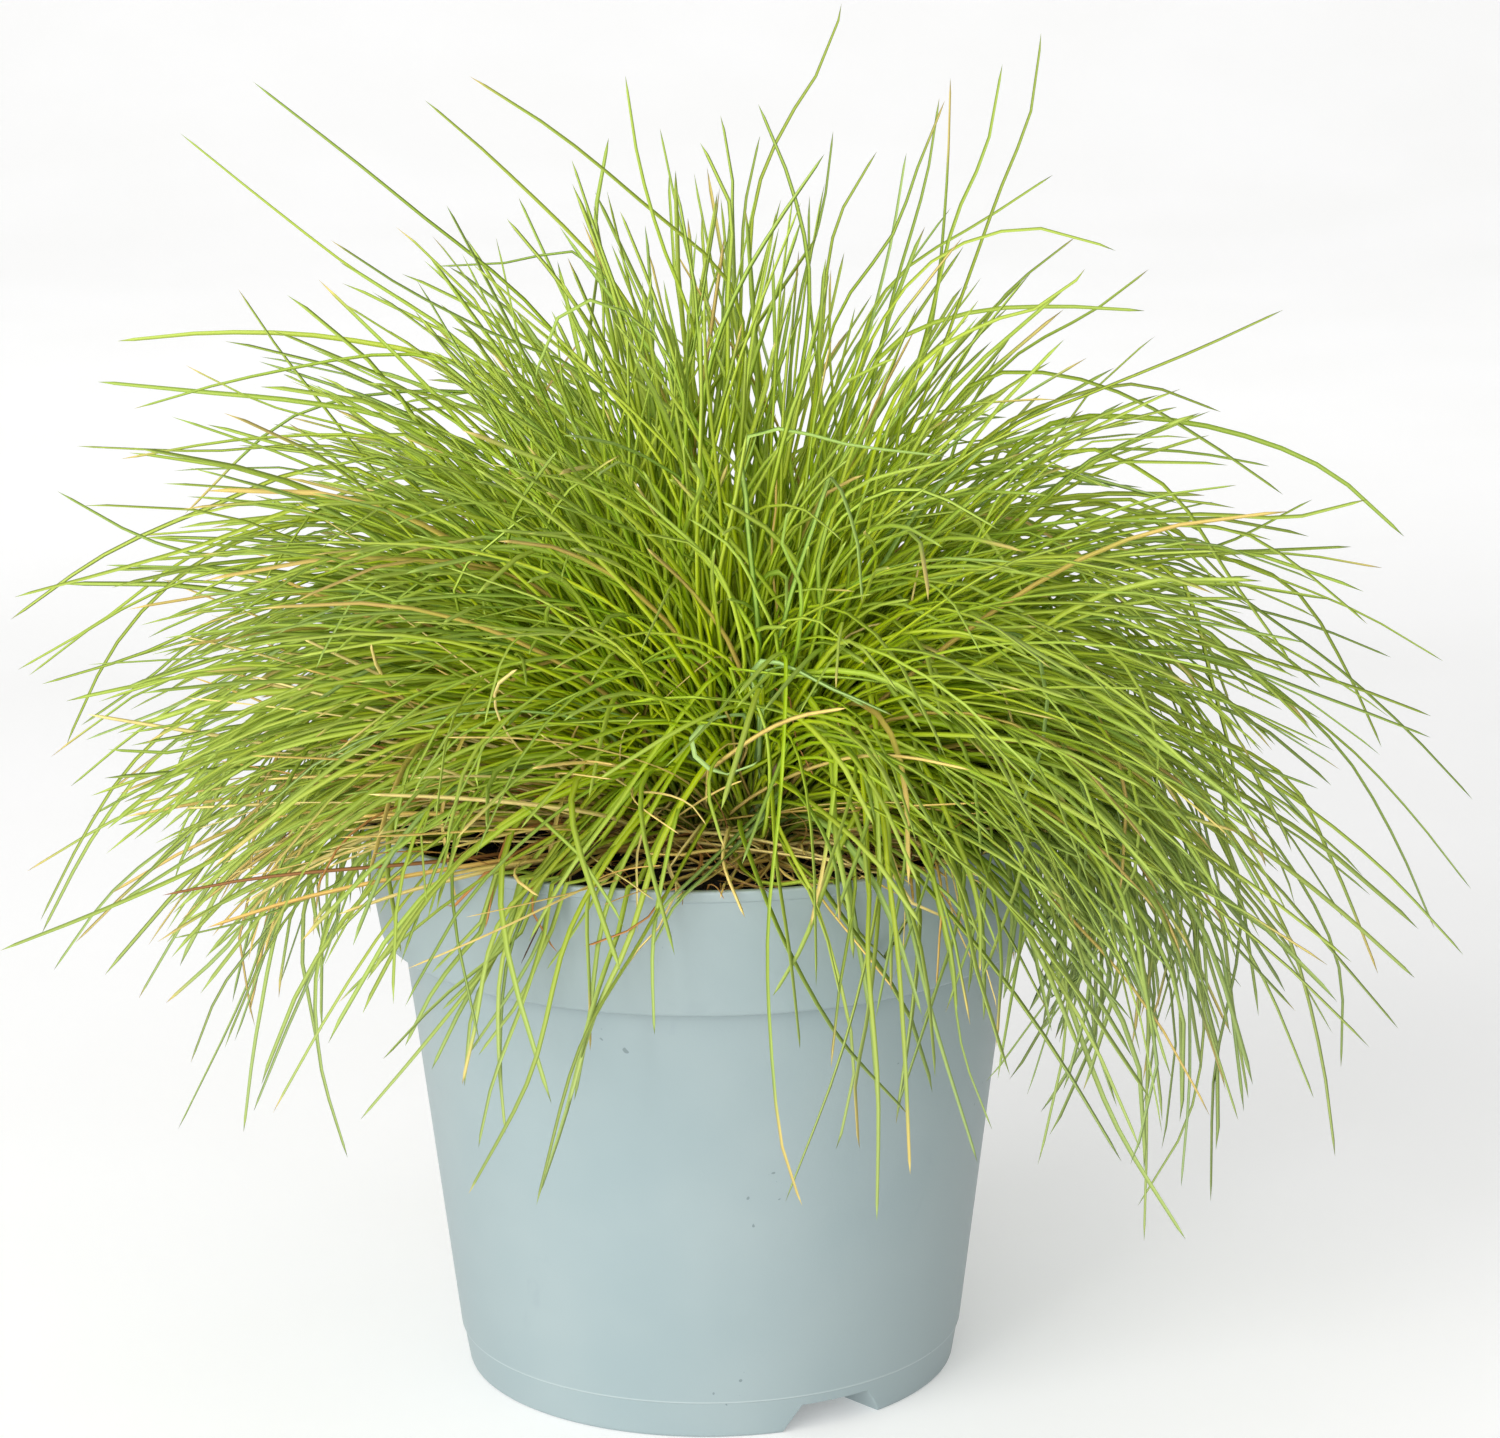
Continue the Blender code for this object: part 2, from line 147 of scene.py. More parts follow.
def draw_out(name, points, segments, turn=0.0):
    """Turns a section into a closed body: a filled circle is extruded and resized from ring to ring."""
    deselect()
    radius, height = points[0]
    bpy.ops.mesh.primitive_circle_add(
        vertices=segments,
        radius=radius,
        fill_type="NGON",
        location=(0, 0, height),
        rotation=(0, 0, turn),
    )
    made = bpy.context.object
    made.name = name
    made.data.name = name
    bpy.ops.object.transform_apply(location=True, rotation=True, scale=True)
    bpy.ops.object.mode_set(mode="EDIT")
    bpy.ops.mesh.select_all(action="SELECT")
    for next_radius, next_height in points[1:]:
        bpy.ops.mesh.extrude_region_move()
        wider = next_radius / radius
        bpy.ops.transform.resize(value=(wider, wider, 1), center_override=(0, 0, height))
        bpy.ops.transform.translate(value=(0, 0, next_height - height))
        radius, height = next_radius, next_height
    bpy.ops.mesh.select_all(action="SELECT")
    bpy.ops.mesh.remove_doubles(threshold=NEAR)
    bpy.ops.mesh.normals_make_consistent(inside=False)
    bpy.ops.object.mode_set(mode="OBJECT")
    return made


def pick(made):
    """Makes this the one object that the next operators work on."""
    deselect()
    made.select_set(True)
    bpy.context.view_layer.objects.active = made


def apply_modifier(made, kind, **settings):
    """Adds a modifier with these settings and applies it."""
    pick(made)
    modifier = made.modifiers.new(kind.title(), kind)
    for setting, value in settings.items():
        setattr(modifier, setting, value)
    bpy.ops.object.modifier_apply(modifier=modifier.name)


def smooth(made, degrees):
    """Shades smooth, apart from edges that turn by more than this."""
    pick(made)
    bpy.ops.object.shade_smooth_by_angle(angle=math.radians(degrees))


first_notch_turn = math.radians(NOTCH_BEARINGS[0] - 90)
pot = draw_out("nursery_pot", rounded(pot_corners), POT_SEGMENTS, first_notch_turn)

# Near a notch's bearing the foot ring's points are raised, the lowest the most, and the outer ones
# follow the slope of the wall.
step_angle = 360 / POT_SEGMENTS
for vertex in pot.data.vertices:
    radius = math.hypot(vertex.co.x, vertex.co.y)
    on_outside = radius > FOOT_OUTSIDE_FROM
    foot_top = FOOT_TOP if on_outside else FLOOR_UNDERSIDE
    if vertex.co.z >= foot_top - NEAR or radius < FOOT_INNER_RADIUS - NEAR:
        continue
    bearing = math.degrees(math.atan2(vertex.co.x, -vertex.co.y))
    off = min(abs((bearing - notch + 180) % 360 - 180) for notch in NOTCH_BEARINGS)
    slope = (NOTCH_STEPS_LOW - off / step_angle) / (NOTCH_STEPS_LOW - NOTCH_STEPS_HIGH)
    rise = NOTCH_HEIGHT * min(max(slope, 0), 1) * (1 - vertex.co.z / foot_top)
    flare = (WALL_FOOT_RADIUS - FOOT_RADIUS) / foot_top * rise if on_outside else 0
    vertex.co.x *= 1 + flare / radius
    vertex.co.y *= 1 + flare / radius
    vertex.co.z += rise

for hole in range(DRAIN_HOLES):
    bearing = math.radians(FIRST_DRAIN_BEARING + hole * 360 / DRAIN_HOLES)
    deselect()
    bpy.ops.mesh.primitive_cylinder_add(
        vertices=DRILL_SIDES,
        radius=DRAIN_HOLE_RADIUS,
        depth=DRILL_LENGTH,
        location=(
            DRAIN_CIRCLE_RADIUS * math.sin(bearing),
            -DRAIN_CIRCLE_RADIUS * math.cos(bearing),
            FLOOR_UNDERSIDE,
        ),
    )
    drill = bpy.context.object
    apply_modifier(pot, "BOOLEAN", operation="DIFFERENCE", solver="EXACT", object=drill)
    bpy.data.objects.remove(drill)
smooth(pot, degrees=38)


def paint(red, green, blue):
    """A colour in linear light from its three sRGB numbers."""
    shares = [part / 255 for part in (red, green, blue)]
    return tuple(
        share / 12.92 if share <= 0.04045 else ((share + 0.055) / 1.055) ** 2.4
        for share in shares
    ) + (1.0,)


class Tint:
    """A value in a material's nodes, used in sums as if it were a number."""

    def __init__(self, tree, socket):
        self.tree = tree
        self.socket = socket

    def node(self, kind, settings=None, values=None, output=0):
        """Adds a node of this type, sets it up, gives its inputs values or links, and returns an output."""
        made = self.tree.nodes.new("ShaderNode" + kind)
        for setting, value in (settings or {}).items():
            if setting == "stops":
                ramp = made.color_ramp.elements
                while len(ramp) < len(value):
                    ramp.new(1.0)
                for stop, (place, colour) in zip(ramp, value):
                    stop.position = place
                    stop.color = colour
            else:
                setattr(made, setting, value)
        for key, value in (values or {}).items():
            if isinstance(value, Tint):
                self.tree.links.new(value.socket, made.inputs[key])
            else:
                made.inputs[key].default_value = value
        return Tint(self.tree, made.outputs[output])

    def sum(self, operation, first, second=0.0):
        """The value that a Math node of this operation gives."""
        return self.node("Math", {"operation": operation}, {0: first, 1: second})

    def __add__(self, other):
        return self.sum("ADD", self, other)

    __radd__ = __add__

    def __sub__(self, other):
        return self.sum("SUBTRACT", self, other)

    def __rsub__(self, other):
        return self.sum("SUBTRACT", other, self)

    def __mul__(self, other):
        return self.sum("MULTIPLY", self, other)

    __rmul__ = __mul__

    def __abs__(self):
        return self.sum("ABSOLUTE", self)

    def between(self, low, high):
        """0 at low, 1 at high and a smooth step between them; low may be the greater of the two."""
        return self.node(
            "MapRange",
            {"interpolation_type": "SMOOTHSTEP"},
            {"Value": self, "From Min": low, "From Max": high},
        )

    def noise(self, scale, detail=2.0, roughness=0.5, distortion=0.0):
        """Noise at this place, with about this many lumps to the metre."""
        look = {"Scale": scale, "Detail": detail, "Roughness": roughness, "Distortion": distortion}
        return self.node("TexNoise", {}, {"Vector": self, **look})

    def mixed(self, first, second):
        """The first colour where this is 0 and the second where it is 1."""
        return self.node(
            "Mix", {"data_type": "RGBA"}, {"Factor": self, "A": first, "B": second}, "Result"
        )

    def relief(self, strength, distance):
        """The surface's normal where this value stands out of it."""
        values = {"Strength": strength, "Distance": distance, "Height": self}
        return self.node("Bump", {}, values, "Normal")

    def parts(self, kind):
        """The three parts of this place or colour."""
        split = self.node("Separate" + kind, {}, {0: self})
        return [Tint(self.tree, socket) for socket in split.socket.node.outputs]


def new_material(name, rest_colour):
    """A material with a Principled shader; gives it, its shader and its object coordinates."""
    made = bpy.data.materials.new(name)
    made.use_nodes = True
    made.diffuse_color = rest_colour
    tree = made.node_tree
    shader = next(node for node in tree.nodes if node.type == "BSDF_PRINCIPLED")
    shader.inputs["Base Color"].default_value = rest_colour
    place = Tint(tree, None).node("TexCoord", output="Object")
    return made, shader, place


def plug(tint, shader, name):
    """Links a value to the shader's socket of this name."""
    tint.tree.links.new(tint.socket, shader.inputs[name])


pot_plastic, shader, place = new_material("duck_egg_plastic", paint(141, 156, 159))
height = place.parts("XYZ")[2]
cloud = place.noise(18, 3, 0.55)
colour = cloud.between(0.3, 0.7).mixed(paint(137, 153, 156), paint(145, 159, 161))
smudge = place.noise(42, 4, 0.6, 0.6).between(0.66, 0.8) * 0.35
colour = smudge.mixed(colour, paint(125, 140, 146))
speck = place.noise(900, 0).between(0.79, 0.81) * place.noise(60, 0).between(0.71, 0.73)
colour = (speck * 0.7).mixed(colour, paint(95, 110, 112))
# Painted highlights: a lighter line along the mould line and a lighter band along the top of the lip, where
# these edges catch the light.
mould_line_highlight = abs(height - MOULD_LINE).between(0.35 * MM, 0.05 * MM)
colour = (mould_line_highlight * 0.6).mixed(colour, paint(180, 192, 192))
lip_edge_highlight = height.between(LIP_TOP - 0.6 * MM, LIP_TOP - 0.1 * MM)
colour = (lip_edge_highlight * 0.35).mixed(colour, paint(176, 188, 188))
plug(colour, shader, "Base Color")
plug(cloud.between(0.2, 0.8) * 0.08 + 0.4 + smudge * 0.25, shader, "Roughness")
skin = place.noise(1500, 1) * 0.25 + place.noise(70, 2) * 1.5
plug(skin.relief(0.12, 0.4 * MM), shader, "Normal")
shader.inputs["IOR"].default_value = 1.49
pot.data.materials.clear()
pot.data.materials.append(pot_plastic)
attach(pot, "root")
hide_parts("pot")

# -----------------------------------------------------------------------------
# Peat: the root ball of dark, crumbly peat that fills the pot to just under the lip. Its top is
# uneven and strewn with loose crumbs, and the plant grows slightly right of its middle.
PEAT_LEVEL = 110.6 * MM
PEAT_SEGMENTS = 220
PEAT_RING = 1.8 * MM
PEAT_TOP_RADIUS = 66.4 * MM
CLODS = (15 * MM, 2.6 * MM)
CRUMBLE = (4 * MM, 1.6 * MM)
DEEPEST_DIP = 3 * MM
LOOSE_CRUMBS = 1500
CRUMBS_REACH = 65.5 * MM
SMALLEST_CRUMB = 0.45 * MM
CRUMB_RANGE = 1.1 * MM

peat_points = [
    (49.6 * MM, 8.4 * MM),
    (59.6 * MM, 91.0 * MM),
    (64.3 * MM, 94.4 * MM),
    (66.9 * MM, PEAT_LEVEL - 0.6 * MM),
]
peat_points += [
    (PEAT_TOP_RADIUS - ring * PEAT_RING, PEAT_LEVEL) for ring in range(int(PEAT_TOP_RADIUS / PEAT_RING))
]
peat = draw_out("peat", [Vector(point) for point in peat_points], PEAT_SEGMENTS)
top = peat.vertex_groups.new(name="top")
top.add([v.index for v in peat.data.vertices if v.co.z > PEAT_LEVEL - NEAR], 1.0, "REPLACE")
for lump, (size, strength) in (("clods", CLODS), ("crumble", CRUMBLE)):
    clouds = bpy.data.textures.new(lump, "CLOUDS")
    clouds.noise_scale = size
    clouds.noise_depth = 1
    apply_modifier(
        peat,
        "DISPLACE",
        texture=clouds,
        strength=strength,
        mid_level=0.5,
        direction="Z",
        vertex_group="top",
    )
smooth(peat, degrees=60)

peat_earth, shader, place = new_material("peat_earth", paint(34, 25, 18))
clod = place.noise(260, 5, 0.65)
colour = clod.between(0.35, 0.7).mixed(paint(14, 10, 8), paint(42, 29, 20))
straw_bits = place.noise(1100, 2, 0.6).between(0.66, 0.72)
colour = (straw_bits * 0.55).mixed(colour, paint(96, 66, 40))
plug(colour, shader, "Base Color")
plug(clod * 0.2 + 0.78, shader, "Roughness")
plug(place.noise(900, 4, 0.7).relief(0.8, 0.8 * MM), shader, "Normal")
peat.data.materials.clear()
peat.data.materials.append(peat_earth)
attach(peat, "root")
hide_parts("soil")


def mesh_from(name, corners, faces, is_smooth):
    """An object of the mesh with these faces, which come in groups of the same number of corners."""
    made = bpy.data.meshes.new(name)
    loops = np.concatenate([group.ravel() for group in faces])
    sizes = np.concatenate([np.full(len(group), group.shape[1]) for group in faces])
    starts = np.concatenate([[0], np.cumsum(sizes)[:-1]])
    made.vertices.add(len(corners))
    made.vertices.foreach_set("co", corners.astype(np.float32).ravel())
    made.loops.add(len(loops))
    made.loops.foreach_set("vertex_index", loops.astype(np.int32))
    made.polygons.add(len(sizes))
    made.polygons.foreach_set("loop_start", starts.astype(np.int32))
    made.polygons.foreach_set("use_smooth", np.full(len(sizes), is_smooth))
    made.update(calc_edges=True)
    body = bpy.data.objects.new(name, made)
    scene.collection.objects.link(body)
    return body


# The loose crumbs: one ball of a few faces, copied in many sizes and each pushed out of round.
rng = np.random.default_rng(4)
deselect()
bpy.ops.mesh.primitive_ico_sphere_add(subdivisions=1, radius=1.0)
ball = bpy.context.object
ball_corners = np.array([v.co for v in ball.data.vertices])
ball_faces = np.array([p.vertices for p in ball.data.polygons])
bpy.data.objects.remove(ball)
peat_heights = {
    (round(v.co.x / PEAT_RING), round(v.co.y / PEAT_RING)): v.co.z for v in peat.data.vertices
    if v.co.z > PEAT_LEVEL - DEEPEST_DIP
}
far = CRUMBS_REACH * np.sqrt(rng.random(LOOSE_CRUMBS))
way = rng.uniform(0, 2 * np.pi, LOOSE_CRUMBS)
spots = np.stack([far * np.cos(way), far * np.sin(way)], 1)
levels = np.array([
    peat_heights.get((round(x / PEAT_RING), round(y / PEAT_RING)), PEAT_LEVEL) for x, y in spots
])
sizes = SMALLEST_CRUMB + CRUMB_RANGE * rng.random(LOOSE_CRUMBS) ** 3
stretch = rng.uniform(0.6, 1.3, (LOOSE_CRUMBS, 1, 3)) * sizes[:, None, None]
crumb_corners = ball_corners * stretch * rng.uniform(0.8, 1.2, (LOOSE_CRUMBS, len(ball_corners), 1))
crumb_corners[:, :, :2] += spots[:, None]
crumb_corners[:, :, 2] += levels[:, None] + sizes[:, None] * 0.25
crumb_faces = ball_faces + np.arange(LOOSE_CRUMBS)[:, None, None] * len(ball_corners)
crumbs = mesh_from("peat_crumbs", crumb_corners.reshape(-1, 3), [crumb_faces.reshape(-1, 3)], False)
crumbs.data.materials.append(peat_earth)
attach(crumbs, "root")

# -----------------------------------------------------------------------------
# Crown: the tillers of the clump, each a slim sheath of rolled leaf bases that grows from the peat
# and leans out the more the nearer it is to the clump's edge. They are pale at the foot.
CROWN_PLACE = np.array((5.0 * MM, -4.0 * MM))
CROWN_RADIUS = 19.0 * MM
GOLDEN_ANGLE = math.radians(137.508)
TILLERS = 170
TILLER_STEPS = 5
TILLER_BEND = 0.12
TILLER_LENGTHS = (14 * MM, 30 * MM)
TILLER_RADII = (0.75 * MM, 1.05 * MM)
TILLER_SECTION = [(math.cos(a), math.sin(a)) for a in np.arange(6) * math.pi / 3]
OUTER_LEAN = math.radians(28)
FRONT = math.radians(-98)
STRAND_CLEARANCE = 0.7 * MM
PEAT_CLEARANCE = 1.6 * MM
PEAT_EDGE_RADIUS = 67.4 * MM
LIP_INNER_RADIUS = 66.8 * MM
LIP_MIDDLE_RADIUS = 69.2 * MM
TIP_PULLED_IN = 0.55
ATLAS_MARGIN = 0.04
ATLAS_COLUMNS = 32

wall_heights = np.array([0.0, MOULD_LINE, COLLAR_FOOT, COLLAR_FOOT + 0.5 * MM, LIP_TOP])
wall_radii = np.array([FOOT_RADIUS, 51.3 * MM, WALL_TOP_RADIUS, COLLAR_FOOT_RADIUS, LIP_RADIUS])


def clear_of_pot(spot, before):
    """Moves points out of the peat and the pot's wall, to the side that their strand came from."""
    spot = spot.copy()
    reach = np.hypot(spot[:, 0], spot[:, 1])
    came_inside = np.hypot(before[:, 0], before[:, 1]) < LIP_MIDDLE_RADIUS
    on_peat = (reach < PEAT_EDGE_RADIUS) & came_inside
    spot[:, 2] = np.where(on_peat, np.maximum(spot[:, 2], PEAT_LEVEL + PEAT_CLEARANCE), spot[:, 2])
    low = spot[:, 2] < LIP_TOP + STRAND_CLEARANCE
    climbs = low & came_inside & (reach > LIP_INNER_RADIUS)
    spot[:, 2] = np.where(climbs, LIP_TOP + STRAND_CLEARANCE, spot[:, 2])
    wall = np.interp(spot[:, 2], wall_heights, wall_radii) + STRAND_CLEARANCE
    leans = low & ~came_inside & (reach < wall)
    push = np.where(leans, wall / np.maximum(reach, 1e-6), 1.0)
    spot[:, :2] *= push[:, None]
    return spot


def grow(roots, headings, leans, bends, lengths, sways, steps, droop=1.0, kinks=None, wander=None):
    """The middle lines of strands that leave their roots at a lean from upright and bend down by
    their own weight as they go, and the level direction across each strand at every point. Droop
    above 1 keeps the bend for the end. Kinks are a place, a lean and a turn, and wander is a
    steady drift and a wave, each to the right and to the back."""
    count = len(roots)
    lines = np.zeros((count, steps + 1, 3))
    across = np.zeros((count, steps + 1, 3))
    lines[:, 0] = roots
    stride = lengths / steps
    for step in range(steps + 1):
        share = (step - 0.5) / steps if step else 0.0
        lean = leans + bends * share**droop
        heading = headings + sways * share
        if kinks is not None:
            past = step / steps > kinks[:, 0]
            lean = lean + np.where(past, kinks[:, 1], 0)
            heading = heading + np.where(past, kinks[:, 2], 0)
        across[:, step] = np.stack([-np.sin(heading), np.cos(heading), np.zeros(count)], 1)
        if step:
            ahead = np.stack(
                [np.cos(heading) * np.sin(lean), np.sin(heading) * np.sin(lean), np.cos(lean)], 1
            )
            if wander is not None:
                ahead[:, :2] += wander[:, :2] * share + wander[:, 2:] * math.sin(2 * math.pi * share)
                ahead /= np.linalg.norm(ahead, axis=1, keepdims=True)
            before = lines[:, step - 1]
            lines[:, step] = clear_of_pot(before + ahead * stride[:, None], before)
    for _ in range(2):
        eased = (lines[:, :-2] + 2 * lines[:, 1:-1] + lines[:, 2:]) / 4
        for step in range(1, steps):
            lines[:, step] = clear_of_pot(eased[:, step - 1], lines[:, step - 1])
    return lines, across


def sweep(name, lines, across, widths, section, rolls, tones, columns):
    """One mesh of many strands, each a section drawn along its line to a point. Its map 'strand'
    runs round and along a strand, and OFBake lays the strands side by side in rows."""
    count, points = lines.shape[:2]
    sides = len(section)
    lines = lines.copy()
    lines[:, -2] += TIP_PULLED_IN * (lines[:, -1] - lines[:, -2])
    ahead = np.gradient(lines, axis=1)
    ahead /= np.linalg.norm(ahead, axis=2, keepdims=True)
    across = across - ahead * (across * ahead).sum(2, keepdims=True)
    across /= np.linalg.norm(across, axis=2, keepdims=True)
    over = np.cross(ahead, across)
    turn = rolls[:, :, None]
    across, over = (
        across * np.cos(turn) + over * np.sin(turn),
        over * np.cos(turn) - across * np.sin(turn),
    )
    rings = np.stack([
        lines + widths[:, :, None] * (across * a + over * b) for a, b in section
    ], 2)
    body = rings[:, :-1].reshape(count, -1, 3)
    corners = np.concatenate([body, lines[:, -1:]], 1)
    each = corners.shape[1]
    first = np.arange(count)[:, None, None, None] * each
    row, side = np.meshgrid(np.arange(points - 2), np.arange(sides), indexing="ij")
    near, far_side = row * sides + side, row * sides + (side + 1) % sides
    quads = np.stack([near, far_side, far_side + sides, near + sides], -1)[None] + first
    last = (points - 2) * sides
    side = np.arange(sides)
    tips = np.stack([last + side, last + (side + 1) % sides, np.full(sides, each - 1)], -1)
    tips = tips[None] + first[:, 0]
    caps = side[::-1][None] + first[:, 0, 0]
    body = mesh_from(
        name, corners.reshape(-1, 3), [quads.reshape(-1, 4), tips.reshape(-1, 3), caps], True
    )

    quad_u = np.stack([side, side + 1, side + 1, side], -1) / sides
    quad_v = np.stack([row, row, row + 1, row + 1], -1) / (points - 1)
    quad_uv = np.stack([np.broadcast_to(quad_u, quad_v.shape), quad_v], -1)
    tip_v = (points - 2) / (points - 1)
    tip_uv = np.stack([
        np.stack([side, side + 1, side + 0.5], -1) / sides,
        np.broadcast_to((tip_v, tip_v, 1.0), (sides, 3)),
    ], -1)
    cap_uv = np.stack([side[::-1] / sides, np.zeros(sides)], -1)
    strand_map = [
        np.broadcast_to(uv.reshape(1, -1, 2), (count, uv.size // 2, 2)) for uv in (quad_uv, tip_uv, cap_uv)
    ]
    rows = math.ceil(count / columns)
    cell = np.stack([np.arange(count) % columns, np.arange(count) // columns], -1)[:, None]
    in_cell = 1 - 2 * ATLAS_MARGIN
    laid_map = [(cell + ATLAS_MARGIN + in_cell * part) / (columns, rows) for part in strand_map]
    for map_name, parts in (("strand", strand_map), ("OFBake", laid_map)):
        flat = np.concatenate([part.reshape(-1, 2) for part in parts]).astype(np.float32)
        body.data.uv_layers.new(name=map_name).uv.foreach_set("vector", flat.ravel())
    tone = body.data.color_attributes.new(name="tone", type="FLOAT_COLOR", domain="POINT")
    tone.data.foreach_set("color", np.repeat(tones, each, 0).astype(np.float32).ravel())
    return body


def from_front(heading):
    """How far a heading is from the front: below 0 to the left of it and above 0 to the right."""
    return (heading - FRONT + np.pi) % (2 * np.pi) - np.pi


def front_share(heading):
    """1 for what grows towards the front of the pot, 0 for its sides and back."""
    return np.clip(1.5 - np.abs(from_front(heading)) / math.radians(70), 0, 1)


def toned(hue, light, withered):
    """Each strand's own hue, lightness and dead share, as its mesh holds them."""
    return np.stack([hue, light, withered, np.ones(len(hue))], 1)


# The tillers stand in a spiral with a little disorder, gathered in bunches and crowded towards
# the left and right of the clump.
rng = np.random.default_rng(11)
order = np.arange(TILLERS)
tiller_far = CROWN_RADIUS * ((order + 0.5) / TILLERS) ** 0.6
tiller_way = order * GOLDEN_ANGLE + rng.normal(0, 0.25, TILLERS)
tiller_way += 0.13 * np.sin(5 * tiller_way + 1.3) + 0.07 * np.sin(11 * tiller_way + 0.5)
tiller_way += 0.09 * np.sin(tiller_way) - 0.27 * np.sin(2 * tiller_way)
tiller_root = np.full((TILLERS, 3), PEAT_LEVEL - 0.5 * MM)
tiller_root[:, 0] = CROWN_PLACE[0] + tiller_far * np.cos(tiller_way)
tiller_root[:, 1] = CROWN_PLACE[1] + tiller_far * np.sin(tiller_way)
tiller_lean = OUTER_LEAN * (tiller_far / CROWN_RADIUS) + rng.normal(0, 0.13, TILLERS)
tiller_lean = np.abs(tiller_lean) * (1 - 0.19 * front_share(tiller_way))
tiller_length = rng.uniform(*TILLER_LENGTHS, TILLERS)
tiller_bend = np.full(TILLERS, TILLER_BEND)
no_sway = np.zeros(TILLERS)
lines, across = grow(
    tiller_root, tiller_way, tiller_lean, tiller_bend, tiller_length, no_sway, TILLER_STEPS
)
narrowing = 1 - 0.35 * np.linspace(0, 1, TILLER_STEPS + 1)
widths = rng.uniform(*TILLER_RADII, (TILLERS, 1)) * narrowing
tones = toned(rng.random(TILLERS), rng.random(TILLERS), rng.random(TILLERS))
no_roll = np.zeros((TILLERS, TILLER_STEPS + 1))
crown = sweep(
    "crown_tillers", lines, across, widths, TILLER_SECTION, no_roll, tones, ATLAS_COLUMNS
)


def strand_values(place):
    """A strand's hue, lightness and dead share, and how far round and along it a point is."""
    tone = place.node("Attribute", {"attribute_name": "tone"}, output="Color")
    mapped = place.node("UVMap", {"uv_map": "strand"})
    return tone.parts("Color") + mapped.parts("XYZ")[:2]


sheath_skin, shader, place = new_material("leaf_sheath", paint(150, 150, 70))
hue, _, withered, around, along = strand_values(place)
green = hue.node(
    "ValToRGB",
    {"stops": [(0.0, paint(140, 138, 62)), (0.6, paint(112, 128, 44)), (1.0, paint(128, 98, 74))]},
    {0: hue},
)
colour = (along.between(0.55, 0.05) * 0.8).mixed(green, paint(186, 170, 112))
ribs = around * 75.0
ribs = ribs.sum("SINE", ribs) * 0.5 + 0.5
colour = (ribs * 0.25).mixed(colour, paint(84, 80, 34))
plug(colour, shader, "Base Color")
plug(withered * 0.1 + 0.5, shader, "Roughness")
crown.data.materials.append(sheath_skin)
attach(crown, "root")
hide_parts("crown")

# -----------------------------------------------------------------------------
# Leaves: fine blades folded lengthwise, a millimetre wide, that grow in bunches from the tillers,
# stand in the middle of the clump and arch further over the lip towards its sides. The front is
# parted. They are mostly yellow-green, some blue-green, with darker edges and a painted highlight along the
# fold.
LEAVES_PER_TILLER = 14
LEAF_STEPS = 13
LEAF_SECTION = [(-0.5, 0.2), (0.0, -0.38), (0.5, 0.2), (0.0, -0.06)]
LEAF_WIDTH = 1.12 * MM
LEAF_LENGTH = 148 * MM
OUTER_LEAF_SHORTER = 11 * MM
GREATEST_LEAN = math.radians(50)
FRONT_LEANS_LESS = math.radians(32)
PARTED_LEAN = math.radians(6)
PARTING = math.radians(17)
PARTING_REACH = math.radians(53)
CROSSING_SHARE = 0.18
HANGING_BEND_SHARE = 0.36
ARCHING_SHARE = 0.06
ARCHING_LENGTHS = (92 * MM, 142 * MM)
STIFF_SHARE = 0.5
STIFF_LEAN = math.radians(9)
YOUNG_SHARE_LEFT = 0.14
YOUNG_SHARE_RIGHT = 0.26
YOUNG_LENGTHS = (26 * MM, 62 * MM)
UNRULY_SHARE = 0.06
KINKED_SHARE = 0.05
DEAD_SHARE = 0.015
DEAD_SHARE_LOW_LEFT = 0.24
DEAD_TONE = 0.97
HEART_MIDDLE = (5 * MM, -4 * MM, 140 * MM)

leaf_skin, shader, place = new_material("fescue_leaf", paint(132, 150, 50))
hue, light, withered, around, along = strand_values(place)
height = place.parts("XYZ")[2]
green = hue.node(
    "ValToRGB",
    {
        "stops": [
            (0.0, paint(184, 196, 40)),
            (0.35, paint(166, 187, 17)),
            (0.65, paint(147, 174, 18)),
            (0.85, paint(142, 172, 82)),
            (1.0, paint(158, 184, 134)),
        ]
    },
    {0: hue},
)
shaded = place.node(
    "Mix",
    {"data_type": "RGBA", "blend_type": "MULTIPLY"},
    {"Factor": 1.0, "A": green, "B": paint(232, 236, 222)},
    "Result",
)
colour = light.mixed(shaded, green)
# Painted light: the leaves near the heart of the clump, above the lip, are painted brighter and more
# saturated, standing in for light that shines through them.
off_heart = place.node("VectorMath", {"operation": "DISTANCE"}, {0: place, 1: HEART_MIDDLE}, "Value")
painted_glow_mask = off_heart.between(115 * MM, 45 * MM) * height.between(112 * MM, 142 * MM)
painted_glow_lift = {"Saturation": 1.2, "Value": 1.46, "Fac": painted_glow_mask, "Color": colour}
colour = place.node("HueSaturation", {}, painted_glow_lift)
colour = (along.between(0.4, 1.0) * 0.55).mixed(colour, paint(158, 182, 100))
# Half a turn round the section goes from edge to edge, with the fold midway.
off_fold = around * 2.0
off_fold = abs(off_fold.sum("FRACT", off_fold) - 0.5) * 2.0
# Painted highlight: a lighter stripe along the fold, where the light catches it.
colour = (off_fold.between(0.45, 0.05) * 0.3).mixed(colour, paint(200, 212, 112))
colour = (off_fold.between(0.7, 1.0) * 0.3).mixed(colour, paint(110, 138, 30))
# Low down, where the leaves hang over the lip, they are duller and greyer.
colour = (height.between(140 * MM, 70 * MM) * 0.55).mixed(colour, paint(142, 158, 114))
mottle = place.noise(160, 3, 0.6)
colour = (mottle.between(0.45, 0.75) * 0.22).mixed(colour, paint(170, 184, 72))
colour = (along.between(0.16, 0.0) * 0.75).mixed(colour, paint(152, 144, 78))
